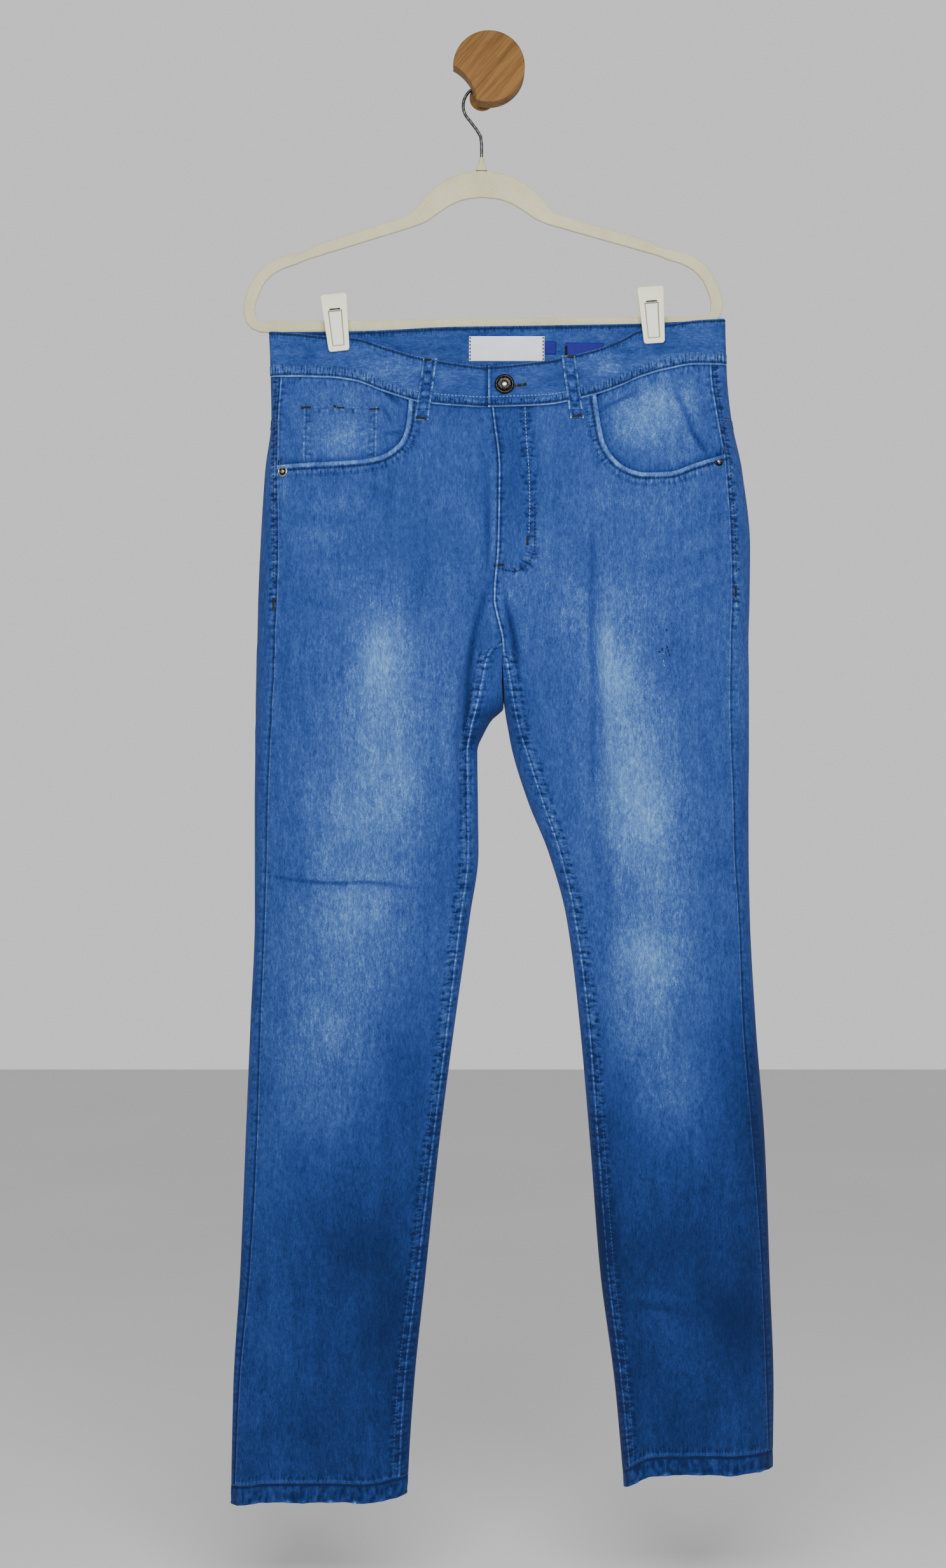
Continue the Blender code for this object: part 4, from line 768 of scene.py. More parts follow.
def denim(name, grain="down"):
    """Worn stretch denim. One attribute gives how light it is, from its wash together with painted shade; seam gives
    its puckers, and inside its paler reverse.
    """
    made, tree, shader, where = finish_of(name, 0.88, sheen=0.05, specular=0.16)
    down = grain == "down"

    def threads(across, along, **settings):
        scale = (across, across, along) if down else (along, across, across)
        return grain_noise(tree, where, scale, **settings)

    def attribute(key):
        return add(tree, "ShaderNodeAttribute", attribute_name=key)

    fine = threads(1250, 380, detail=1.5, roughness=0.6)
    slub = threads(620, 170, detail=1.0, roughness=0.5, move=(3.1, 1.7, 0.4))
    speck = grain_noise(tree, where, (1500, 1500, 1300), 1.0)
    patchy = threads(330, 150, detail=1.0, roughness=0.5, move=(2, 5, 8))
    mottle = threads(150, 80, detail=1.5, roughness=0.55, move=(1, 9, 2))
    streak = threads(110, 18, detail=1.5, roughness=0.5, move=(6, 2, 1))
    cloud = grain_noise(tree, where, (30, 30, 22), 2.0, 0.55, move=(7, 3, 5))
    far, run, strength = add(tree, "ShaderNodeSeparateXYZ", {0: attribute("seam").outputs["Vector"]}).outputs
    place = add(tree, "ShaderNodeCombineXYZ", {"X": times(tree, far, 0.13), "Y": times(tree, run, 0.27)}).outputs[0]
    lump = grain_noise(tree, place, (1, 1, 1), 1.2)
    beat = sums(tree, "SINE", times(tree, lump, 7.0, run))
    pucker = times(tree, times(tree, beat, 0.055, sums(tree, "SUBTRACT", lump, 0.5)), strength)

    uneven = 0.0
    for noise, amount in (
        (fine, 0.50), (slub, 0.42), (speck, 0.52), (patchy, 0.28), (mottle, 0.18), (streak, STREAK[grain]),
        (cloud, 0.18),
    ):
        uneven = times(tree, sums(tree, "SUBTRACT", noise, 0.5), amount, uneven)
    # Dark denim and denim worn pale are more even than what lies between.
    wash = attribute("wash").outputs["Fac"]
    share = sums(tree, "MINIMUM", times(tree, wash, 1.1, 0.52), times(tree, wash, -1.15, 1.55))
    tone = times(tree, uneven, sums(tree, "MINIMUM", 1.0, share), 0.12)
    tone = times(tree, wash, 0.88, tone)
    # A pucker darkens its hollow twice as much as it lightens its crest.
    tone = sums(tree, "ADD", tone, sums(tree, "MINIMUM", times(tree, pucker, 0.9), times(tree, pucker, 1.8)))
    outside = colours(tree, tone, DENIM_TONES)
    reverse = colours(tree, times(tree, fine, 1.6, -0.3), REVERSE_TONES)
    sides = {0: attribute("inside").outputs["Fac"], 6: outside, 7: reverse}
    tree.links.new(add(tree, "ShaderNodeMix", sides, data_type="RGBA").outputs[2], shader.inputs["Base Color"])
    height = 0.0
    for noise, amount in ((fine, 0.16), (speck, 0.10), (slub, 0.16), (mottle, 0.30), (pucker, 2.8)):
        height = times(tree, noise, amount, height)
    bumped(tree, shader, height)
    return made


def grained(name, roughness, grain, cloud, stops, relief, **settings):
    """A finish coloured by its grain and by a softer cloud, each a noise and its share, and raised by the grain."""
    made, tree, shader, where = finish_of(name, roughness, **settings)
    fine, broad = (grain_noise(tree, where, *noise) for noise, _ in (grain, cloud))
    tone = times(tree, fine, grain[1], times(tree, broad, cloud[1]))
    tree.links.new(colours(tree, tone, stops), shader.inputs["Base Color"])
    bumped(tree, shader, fine, relief)
    return made


def thread(name, colour, pale):
    twist, worn = (((2600, 2600, 900), 1.0), 0.5), (((70, 70, 70), 2.0), 0.6)
    return grained(name, 0.75, twist, worn, ((0.35, colour), (0.75, pale)), 0.0002, specular=0.18)


def flocking(name):
    """Short pile, warm grey, rubbed a little darker in places."""
    pile, rubbed = (((1500, 1500, 1500), 3.0, 0.7), 0.7), (((38, 38, 30), 4.0, 0.6), 0.5)
    stops = ((0.40, (0.55, 0.52, 0.34)), (0.60, (0.70, 0.67, 0.43)), (0.85, (0.83, 0.80, 0.54)))
    return grained(name, 0.97, pile, rubbed, stops, 0.0006, sheen=0.3, specular=0.1)


def clip_finish(name, colour=(0.84, 0.83, 0.64)):
    """Moulded plastic with a faint flow in its colour and a fine satin grain."""
    made, tree, shader, where = finish_of(name, 0.42, specular=0.45)
    grain = grain_noise(tree, where, (1400, 1400, 1400), 2.0)
    flow = grain_noise(tree, where, (30, 60, 18), 3.0)
    stops = ((0.35, colour), (0.65, tuple(1.09 * part for part in colour)))
    tree.links.new(colours(tree, flow, stops), shader.inputs["Base Color"])
    tree.links.new(times(tree, flow, 0.25, 0.32), shader.inputs["Roughness"])
    bumped(tree, shader, grain, 0.00012)
    return made


def metal(name, colour, worn, roughness):
    """Dark plated metal, brighter where it is rubbed."""
    made, tree, shader, where = finish_of(name, roughness, metallic=1.0)
    patch = grain_noise(tree, where, (520, 520, 520), 3.0, 0.6)
    fine = grain_noise(tree, where, (2600, 2600, 600), 2.0)
    tree.links.new(colours(tree, patch, ((0.42, colour), (0.78, worn))), shader.inputs["Base Color"])
    tree.links.new(times(tree, patch, 0.35, roughness - 0.12), shader.inputs["Roughness"])
    bumped(tree, shader, fine, 0.00005)
    return made


WOOD_TURN = (0, radians(-41), 0)
VEIN_AT = 0.0228


def wood(name):
    """Oiled hardwood: long grain down to the right, a darker vein, short pores."""
    made, tree, shader, where = finish_of(name, 0.6, specular=0.2)
    turned = add(tree, "ShaderNodeMapping", {"Vector": where, "Rotation": WOOD_TURN}).outputs[0]
    long_grain = grain_noise(tree, turned, (150, 60, 9), 3.0, 0.6)
    streak = grain_noise(tree, turned, (620, 300, 16), 2.0, 0.6, move=(4, 1, 2))
    pores = grain_noise(tree, turned, (1500, 1500, 110), 1.0, 0.5)
    tone = times(tree, streak, 0.45, times(tree, long_grain, 0.75))
    tone = times(tree, sums(tree, "SUBTRACT", pores, 0.5), 0.25, tone)
    across = add(tree, "ShaderNodeSeparateXYZ", {"Vector": turned}).outputs["X"]
    wander = times(tree, sums(tree, "SUBTRACT", long_grain, 0.5), 0.004, across)
    beside = sums(tree, "ABSOLUTE", sums(tree, "SUBTRACT", wander, VEIN_AT))
    span = {"Value": beside, "From Min": 0.0, "From Max": 0.0016, "To Min": 0.16, "To Max": 0.0}
    tone = sums(tree, "SUBTRACT", tone, add(tree, "ShaderNodeMapRange", span).outputs[0])
    stops = ((0.30, (0.090, 0.036, 0.007)), (0.50, (0.165, 0.076, 0.017)), (0.72, (0.250, 0.124, 0.032)))
    tree.links.new(colours(tree, tone, stops), shader.inputs["Base Color"])
    bumped(tree, shader, sums(tree, "ADD", streak, pores), 0.00015)
    return made


def label_finish(name, colour, shade):
    """Woven satin ribbon."""
    weave, waves = (((420, 800, 3200), 1.0), 0.6), (((60, 60, 90), 2.0), 0.5)
    return grained(name, 0.6, weave, waves, ((0.35, shade), (0.75, colour)), 0.0001, specular=0.2)


DENIM_DOWN = denim("denim")
DENIM_ACROSS = denim("denim_across", "across")
THREAD_BLUE = thread("thread_blue", (0.010, 0.034, 0.125), (0.055, 0.125, 0.29))
THREAD_PALE = thread("thread_pale", (0.10, 0.19, 0.36), (0.27, 0.39, 0.56))
THREAD_DARK = thread("thread_dark", (0.003, 0.009, 0.026), (0.018, 0.030, 0.056))
THREAD_BAR = thread("thread_bar", (0.026, 0.026, 0.026), (0.090, 0.078, 0.066))
FLOCK = flocking("flocking")
CLIP = clip_finish("clip_plastic")
CLIP_SHADE = clip_finish("clip_plastic_shade", (0.30, 0.29, 0.20))
CLIP_FIELD = clip_finish("clip_plastic_field", (0.80, 0.82, 0.70))
DARK_METAL = metal("dark_metal", (0.010, 0.010, 0.011), (0.055, 0.048, 0.042), 0.26)
BRIGHT_METAL = metal("bright_metal", (0.35, 0.33, 0.30), (0.70, 0.68, 0.64), 0.22)
WIRE = metal("wire_metal", (0.07, 0.07, 0.072), (0.22, 0.22, 0.22), 0.28)
WOOD = wood("oiled_wood")
LABEL_WHITE = label_finish("label_white", (0.90, 0.91, 0.95), (0.76, 0.78, 0.84))
LABEL_BLUE = label_finish("label_blue", (0.005, 0.007, 0.260), (0.003, 0.004, 0.150))

# ---------------------------------------------------------------- stitches

STITCH_PITCH, STITCH_LENGTH, STITCH_WIDE, STITCH_HIGH = 3.3, 2.6, 0.8, 0.36


def line_in(grid, edge, distance):
    """Points and normals of a grid that run beside one of its edges, a distance in from it."""
    left, right, first, last = edge_distances(grid["at"])
    far = {"left": left, "right": right, "first": first, "last": last}[edge]
    at, normal = grid["at"], grid["normal"]
    if edge in ("left", "right"):
        far, at, normal = far.T, at.transpose(1, 0, 2), normal.transpose(1, 0, 2)
    if edge in ("right", "last"):
        far, at, normal = far[::-1], at[::-1], normal[::-1]
    return [
        np.array([[np.interp(distance, far[:, k], values[:, k, i]) for i in range(3)] for k in range(at.shape[1])])
        for values in (at, normal)
    ]


def on_cloth(x, z, lift=0.0):
    """Points and normals of the front at these places, with its creases."""
    points = both_legs("front", x, z)
    points[..., 1] += creased(*pixel_of(points), FRONT_CREASES)[0]
    across = both_legs("front", x + 0.5, z) - both_legs("front", x - 0.5, z)
    up = both_legs("front", x, z + 0.5) - both_legs("front", x, z - 0.5)
    normal = unit(np.cross(across, up))
    return points + normal * lift, normal


def on_front(path, lift=0.0):
    """Points and normals of the front below a smooth curve through these pixels."""
    px, py = along(path, np.linspace(0, 1, 12 * len(path))).T
    y = np.full(px.shape, -42.0)
    for _ in range(4):
        x, z = seen(px, py, y)
        y = on_cloth(x, z)[0][..., 1]
    return on_cloth(*seen(px, py, y), lift)


def both_legs(face, x, z):
    """The surface of either half, whichever is at x."""
    right = (x > OVERLAP_X)[..., None]
    return np.where(right, right_leg.at(face, x, z), left_leg.at(face, x, z))


def thread_form():
    """One stitch along X: a low arched bead whose two ends dive into the cloth."""
    rings = ((-0.5, 0.15, -0.9), (-0.26, 0.95, 0.16), (0.26, 0.95, 0.16), (0.5, 0.15, -0.9))
    sides = 4
    points = []
    for x, wide, up in rings:
        for k in range(sides):
            a = 2 * pi * k / sides + pi / 2
            points.append((x, wide * cos(a) / 2, up / 2 + wide * sin(a) / 2))
    faces = []
    for r in range(len(rings) - 1):
        for k in range(sides):
            m = (k + 1) % sides
            a, b = r * sides, (r + 1) * sides
            faces.append((a + k, a + m, b + m, b + k))
    faces.append(tuple(range(sides))[::-1])
    last = (len(rings) - 1) * sides
    faces.append(tuple(last + k for k in range(sides)))
    return np.array(points), faces


STITCH_POINTS, STITCH_FACES = thread_form()


def placed(points, normals, pitch):
    """Places along a line, every pitch: point, heading and normal."""
    reach = reach_along(points, 0)
    at = np.arange(pitch * 0.5, reach[-1], pitch)

    def read(values, where):
        return np.stack([np.interp(where, reach, values[:, i]) for i in range(3)], -1)

    heading = unit(read(points, at + 0.6) - read(points, at - 0.6))
    normal = read(normals, at)
    normal -= heading * (heading * normal).sum(1, keepdims=True)
    return read(points, at), heading, unit(normal)


def sewn(rows, length=STITCH_LENGTH, wide=STITCH_WIDE, high=STITCH_HIGH, across=False):
    """Points and faces of the stitches at these places. across turns each one square to the line."""
    all_points, all_faces, start = [], [], 0
    for at, heading, normal in rows:
        side = np.cross(normal, heading)
        x, y = (side, heading) if across else (heading, side)
        form = STITCH_POINTS * (length, wide, high * 2)
        points = (
            at[:, None]
            + form[None, :, :1] * x[:, None]
            + form[None, :, 1:2] * y[:, None]
            + form[None, :, 2:] * normal[:, None]
        ).reshape(-1, 3)
        for k in range(len(at)):
            base = start + k * len(STITCH_POINTS)
            all_faces += [tuple(base + i for i in face) for face in STITCH_FACES]
        start += len(points)
        all_points.append(points)
    return np.concatenate(all_points), all_faces


def stitches(name, lines, material, pitch=STITCH_PITCH, **shape):
    """Rows of stitches as one piece, on lines of points and normals."""
    points, faces = sewn([placed(*line, pitch) for line in lines], **shape)
    return piece(name, points, faces, material, sharp=80)


# ---------------------------------------------------------------- front, back, yokes and hems

MOUTH_STEPS, TOP_STEPS, MOUTH_SHARE = 6, 7, 0.56
CLOTH_STEP, ROW_STEP = 3.1, 3.8
KNEE_CREASE_Z = (-734.0, -752.0)
# The fly's sewing, in pixels: its pale straight row, its dark curve, and both as one line of puckers.
J_STITCH = ((825, 639), (827.6, 688), (831.4, 739), (832.7, 790), (831.4, 838))
J_CURVE = ((840, 742), (841, 790), (840.5, 861), (833, 881), (822, 893), (808, 898), (784, 893))
J_WHOLE = J_STITCH[:3] + ((834, 790), (836, 838), (837, 864), (831, 883), (821, 893), (808, 897), (784, 893))


def band_seam(face, x):
    return front_band.read("seam", x) if face == "front" else back_band.read("top", x) - BAND_HEIGHT


def yoke_z(turn):
    return mix(YOKE_SIDE_Z, YOKE_MIDDLE_Z, clamp((turn - 2) / 10))


def heights(leg, *exact):
    """Row heights from the top of the straight part to the hem."""
    length = MORPH_Z - leg.hem["top"]
    rows = MORPH_Z - length * spaced(length, ROW_STEP, first=False)
    extra = np.arange(KNEE_CREASE_Z[0], KNEE_CREASE_Z[1], -1.1)
    rows = np.concatenate([rows, extra, exact])
    rows = np.unique(np.round(rows, 2))[::-1]
    keep = [True]
    for a, b in zip(rows, rows[1:]):
        keep.append(a - b > 0.25 or b in exact)
    return rows[np.array(keep)]


def seam_of(lines):
    """The nearest seam's distance, run and puckers at each point. Each line gives its distance, its run along
    the seam, how strongly it puckers and how far in the puckers reach. Puckers die out where two seams meet."""
    shape = lines[0][0].shape
    far, run, strong = (np.stack([np.broadcast_to(line[i], shape) for line in lines]) for i in (0, 1, 2))
    strength = strong * np.stack([smooth(line[3] + 3, line[3] - 2, line[0]) for line in lines])
    counted = np.where(strong > 0.01, far, 1e6)
    first = np.argmin(counted, axis=0)[None]
    nearest, far, own_run, strength = (
        np.take_along_axis(values, first, 0)[0] for values in (counted, far, run, strength)
    )
    others = np.where(run == own_run, 1e6, counted).min(axis=0)
    return np.stack([far, own_run, strength * smooth(1.0, 4.5, others - nearest)], -1)


def worked(grid, height, wash, lines, *edges):
    """A grid with its sewn relief, its seam gaps, its wash with painted shade in it, and its puckers."""
    raised(grid, height)
    drawn_in(grid, *edges)
    grid["values"] = {"wash": wash, "seam": seam_of(lines)}
    return grid


def line_distance(px, py, path):
    """Distance from a smooth line of pixels and the run along it, in millimetres on the cloth."""
    points = along(path, np.linspace(0, 1, 8 * len(path)))
    reach = reach_along(points, 0)
    far, run = np.full(px.shape, 1e6), np.zeros(px.shape)
    for k, (x, y) in enumerate(points):
        away = np.hypot(px - x, py - y)
        run = np.where(away < far, reach[k], run)
        far = np.minimum(far, away)
    return far * ON_CLOTH, run * ON_CLOTH


def mouth_curve(leg, away=0.0):
    """The pocket mouth's edge, or a line beside it on the front panel, as x and z."""
    curve = along(leg.mouth, np.linspace(0, 1, 100))
    if away:
        step = np.gradient(curve, axis=0)
        square = np.stack([-step[:, 1], step[:, 0]], 1) / np.linalg.norm(step, axis=1, keepdims=True)
        curve = curve + square * away * -leg.side
    return curve


def from_mouth(leg, x, z):
    """Distance from the pocket mouth's edge, negative inside the opening, and the run along the edge."""
    curve = mouth_curve(leg)
    far, run, _ = beside_line(x, z, curve)
    order = np.argsort(curve[:, 0])
    level = np.interp(x, curve[order, 0], curve[order, 1])
    inside = (z > level) & (leg.side * (x - leg.mouth[0][0]) > 0)
    return np.where(inside, -far, far), run


def front_grid(leg):
    mouth_top_x = leg.mouth[0][0]
    fly_top_x = leg.line("inner", band_seam("front", OVERLAP_X))
    mouth = spaced(125, CLOTH_STEP) * MOUTH_STEPS
    rest = MOUTH_STEPS + spaced(88, CLOTH_STEP) * TOP_STEPS
    column = np.concatenate([mouth, rest[1:]])
    share = np.where(
        column <= MOUTH_STEPS,
        MOUTH_SHARE * column / MOUTH_STEPS,
        mix(MOUTH_SHARE, 1, (column - MOUTH_STEPS) / TOP_STEPS),
    )
    curve = along(leg.mouth[::-1], clamp(column / MOUTH_STEPS))
    level_x = mix(mouth_top_x, fly_top_x, (column - MOUTH_STEPS) / TOP_STEPS)
    beside = column < MOUTH_STEPS
    top_x = np.where(beside, curve[:, 0], level_x)
    top_z = np.where(beside, curve[:, 1], band_seam("front", level_x) - BAND_GAP)
    v = spaced(104, CLOTH_STEP, last=False)[:, None]
    z = mix(top_z, MORPH_Z, v)
    x = mix(top_x, mix(leg.line("outseam", MORPH_Z), leg.line("inseam", MORPH_Z), share), v)
    x = x + (leg.line("outseam", z[:, :1]) - x[:, :1]) * smooth(3, 0, column)
    x = x + (leg.line("inner", z[:, -1:]) - x[:, -1:]) * smooth(9, 13, column)
    low_z = np.repeat(heights(leg)[1:, None], len(column), 1)
    low_x = mix(leg.line("outseam", low_z), leg.line("inseam", low_z), share)
    x, z = np.concatenate([x, low_x]), np.concatenate([z, low_z])
    points = leg.at("front", x, z)
    px, py = pixel_of(points)
    depth, tone = creased(px, py, FRONT_CREASES)
    points[..., 1] += depth * smooth(0, 8, np.abs(x - leg.line("outer", z)))
    grid = sheet_of(points, leg_outward(leg))
    out, inner, top, bottom = edge_distances(points)
    below = smooth(CROTCH_Z + 4, CROTCH_Z - 10, z)
    fly = 1 - below
    # The creases bring their painted shade and painted light into the tone.
    wash = tone_at(points, "front") + tone

    height, pale = worn_edge(np.minimum(out, inner))
    # The pocket mouth: a rolled lip worn pale, painted shadow beneath it in the sewn groove, the turned-in layer and
    # its second row.
    mouth_far, mouth_run = from_mouth(leg, x, z)
    lip = smooth(4.8, 3.2, mouth_far)
    height += 0.9 * lip - bump_at(mouth_far, 5.2, 1.4, 0.55)
    height += 0.3 * smooth(5.0, 6.0, mouth_far) * smooth(12.0, 10.5, mouth_far)
    wear = 0.75 + 0.25 * np.sin(mouth_run * 0.21 + 1.7 * np.sin(mouth_run * 0.09))
    wash += 0.40 * wear * smooth(4.4, 3.0, mouth_far) * smooth(-0.4, 0.8, mouth_far)
    for at, half, tone in ((5.3, 1.5, -0.42), (11.3, 1.4, -0.16), (8.2, 2.2, 0.08)):
        wash += bump_at(mouth_far, at, half, tone)
    # Painted shadow under the waistband's lower edge.
    top_edge = np.where(mouth_far < 14, 1e3, top)
    wash += -0.26 * smooth(2.6, 0.3, top_edge) - 0.06 * smooth(9, 2, top_edge)
    # The felled inseam, and the fly's folded edge.
    felled = below * smooth(9.2, 7.6, inner)
    height += 0.75 * felled - below * (bump_at(inner, 1.7, 0.9, 0.3) + bump_at(inner, 7.0, 0.9, 0.25))
    wash += below * (0.30 * smooth(1.5, 0.7, inner) + 0.03 * smooth(8, 6, inner))
    wash -= below * (bump_at(inner, 2.5, 1.1, 0.18) + bump_at(inner, 9.0, 1.6, 0.08))
    if leg is right_leg:
        far_j, far_row = line_distance(px, py, J_CURVE)[0], line_distance(px, py, J_STITCH)[0]
        behind_fly = fly * smooth(903, 886, py) * smooth(852, 828, px)
        height += fly * 0.9 * smooth(2.8, 1.4, inner) + 0.35 * behind_fly
        wash += fly * (0.50 * smooth(1.9, 1.1, inner) - bump_at(inner, 2.7, 1.2, 0.32)) - 0.05 * behind_fly
        height += -bump_at(far_j, 0, 1.6, 0.3) - bump_at(far_row, 0, 1.6, 0.3)
        wash += -bump_at(far_j, 0, 2.0, 0.20) - bump_at(far_row, 2.2, 2.6, 0.14)
        far_whole, run_whole = line_distance(px, py, J_WHOLE)
        lines = [(far_whole, run_whole, 0.9 * smooth(790, 806, px), 6.0), (inner, -z, 0.6 * fly, 5.5)]
    else:
        height -= 0.2 * fly * smooth(4, 1, inner)
        # Painted shadow of the fly's folded edge on the left front, and a paler stripe beyond it.
        wash -= fly * (0.34 * smooth(2.6, 0.4, inner) - 0.06 * bump_at(inner, 6.5, 3.5, 1.0))
        lines = [(inner, -z, 0.3 * fly, 6.0)]
    lines += [
        (inner, -z, 1.15 * below, 9.5),
        (mouth_far, 1.5 * mouth_run, 0.75 * smooth(2, 5, mouth_far), 11.5),
        (out, -z, 0.25, 4.0),
        (bottom, reach_along(points[:1], 1), 0.5, 7.0),
    ]
    wash += pale * np.where(out < inner, 0.8, below * 0.4) + 0.22 * smooth(3.0, 0.8, bottom)
    return worked(grid, height, wash, lines, "last", "left", "right")


def round_back(side_length, bend_steps, flat_steps, seat_length):
    """Columns from the outseam round the side to the seat seam, as turns."""
    side = spaced(side_length, CLOTH_STEP, last=False) * 2
    bend, flat = np.linspace(2, 5, bend_steps)[1:], np.linspace(5, 9, flat_steps)[1:]
    return np.concatenate([side, bend, flat, 9 + spaced(seat_length, CLOTH_STEP, first=False)[1:] * 3])


def back_grid(leg):
    column = round_back(28, 19, 31, 66)
    v = spaced(100, CLOTH_STEP, last=False)[:, None]
    top_z = mix(yoke_z(column), MORPH_Z, v)
    rows = heights(leg, SADDLE_Z, WEB_TOP_Z[leg.name])
    z = np.concatenate([top_z, np.repeat(rows[1:, None], len(column), 1)])
    turn = np.broadcast_to(column, z.shape)
    grid = sheet_of(back_shaped(leg, turn, z), leg_outward(leg))
    out, seat, top, bottom = edge_distances(grid["at"])
    on_side = smooth(2.4, 1.4, turn)
    above = smooth(SADDLE_Z - 4, SADDLE_Z + 10, z)
    face_tone = mix(tone_at(grid["at"], "back"), tone_at(grid["at"], "front"), smooth(3.2, 1.8, turn))
    _, crease_painted_shading = creased(*pixel_of(grid["at"]), BACK_CREASES)
    # The back's strip seen at the side is a little darker as painted shade.
    wash = face_tone + crease_painted_shading * smooth(3, 4, turn) - 0.05 * on_side
    height, pale = worn_edge(out)
    # Painted shadow of the front's folded edge along the outseam, then a paler line.
    wash += -0.34 * smooth(2.4, 0.6, out) + 0.08 * bump_at(out, 3.6, 1.2, 1.0)
    wash += pale * 0.2
    hip = smooth(1030, 930, pixel_of(grid["at"])[1])
    wash += 0.22 * smooth(1.6, 0.5, top) - bump_at(top, 2.4, 1.2, 0.10) - bump_at(top, 8.6, 1.2, 0.08)
    height += 0.6 * smooth(9.6, 8.2, top) - bump_at(top, 2.2, 1.0, 0.3) - bump_at(top, 8.4, 1.0, 0.25)
    height += above * (0.6 * smooth(9.6, 8.2, seat) - bump_at(seat, 2.0, 1.0, 0.3))
    wash += above * (0.24 * smooth(1.5, 0.4, seat) - bump_at(seat, 2.2, 1.1, 0.12) - bump_at(seat, 8.6, 1.2, 0.08))
    lines = [
        (out, -z, mix(0.35, 1.3, hip), 7.5),
        (top, 30 * turn, 0.8, 10.0),
        (seat, -z, above, 10.0),
        (bottom, 30 * turn, 0.5, 7.0),
    ]
    worked(grid, height * mix(1.0, 0.4, on_side), wash, lines, "first", "last", "left")
    saddle = int(np.argmin(np.abs(z[:, -1] - SADDLE_Z)))
    at = grid["at"]
    at[:saddle, -1] += unit(at[:saddle, -2] - at[:saddle, -1]) * SEAM / 2
    grid["normal"][saddle, -1] = (0, 0, -1)

    web_turn = np.concatenate([[12, 12.3, 12.6], np.linspace(13, 14, 9)])
    web_z = rows[rows <= WEB_TOP_Z[leg.name] + 0.01]
    web = sheet_of(back_shaped(leg, web_turn, web_z[:, None]), leg_outward(leg))
    drawn_in(web, "first", gap=SEAM / 2)
    drawn_in(web, "last", "right")
    _, inseam, _, _ = edge_distances(web["at"])
    web_py = pixel_of(web["at"])[1]
    # The web lies between the legs: it is darker overall, and more on the left leg below the crotch, as painted
    # shade.
    shaded = 0.26 * smooth(1085, 1130, web_py) * smooth(1215, 1160, web_py) if leg is left_leg else 0.0
    web_wash_and_shade = tone_at(web["at"], "front") - 0.05 - shaded + 0.24 * smooth(1.6, 0.5, inseam)
    web_wash_and_shade -= bump_at(inseam, 2.4, 1.2, 0.12)
    web["values"] = {"wash": web_wash_and_shade, "seam": seam_of([(inseam, -web_z[:, None], 0.6, 6.0)])}
    # The web is free above the saddle's fold, and below it grows out of the back's last column.
    fold = int(np.argmin(np.abs(web_z - SADDLE_Z)))
    web["at"][:fold, 0] += unit(web["at"][:fold, 1] - web["at"][:fold, 0]) * SEAM / 2
    below = slice(saddle, saddle + len(web_z) - fold)
    for key in ("at", "normal"):
        web[key][fold:, 0] = grid[key][below, -1]
    return grid, web


def back_shaped(leg, turn, z):
    points = leg.around(turn, z)
    depth, _ = creased(*pixel_of(points), BACK_CREASES)
    points[..., 1] -= depth * smooth(3, 4.5, turn) * smooth(12, 11, turn)
    return points


def yoke_grid(leg):
    column = round_back(24, 20, 40, 50)
    under_x = leg.around(column, np.full(column.shape, UNDER_BAND_Z))[..., 0]
    high = np.where(column < 2, band_seam("front", under_x), band_seam("back", under_x)) - BAND_GAP
    v = spaced(66, CLOTH_STEP)[:, None]
    z = mix(high, yoke_z(column), v)
    grid = sheet_of(leg.around(column, z), leg_outward(leg))
    out, seat, top, bottom = edge_distances(grid["at"])
    wash = mix(tone_at(grid["at"], "back"), tone_at(grid["at"], "front"), smooth(3.2, 1.8, column)) - 0.02
    # Painted shadow along the outseam under the front's edge and under the waistband, and darker along its lower
    # seam.
    wash += -0.34 * smooth(2.4, 0.6, out) - 0.20 * smooth(3, 0.4, top) - 0.16 * smooth(2.0, 0.3, bottom)
    height = -0.35 * (1 - quarter(np.minimum(np.minimum(out, seat), bottom) / 0.9))
    lines = [
        (out, -z, 1.1, 7.0),
        (bottom, 30 * column, 0.4, 4.0),
        (seat, -z, 0.8, 9.0),
    ]
    return worked(grid, height, wash, lines, "last", "left", "right")


# Where the hems' edges are worn white: pixel, half its width, and how much.
WORN_SPOTS = (
    (402, 5, 0.35), (452, 4, 0.75), (478, 3, 0.35), (519, 5, 0.80), (558, 4, 0.95), (600, 4, 0.30), (1000, 3, 0.5),
    (1046, 5, 0.40), (1098, 6, 0.45), (1150, 4, 0.35), (1196, 4, 0.55),
)


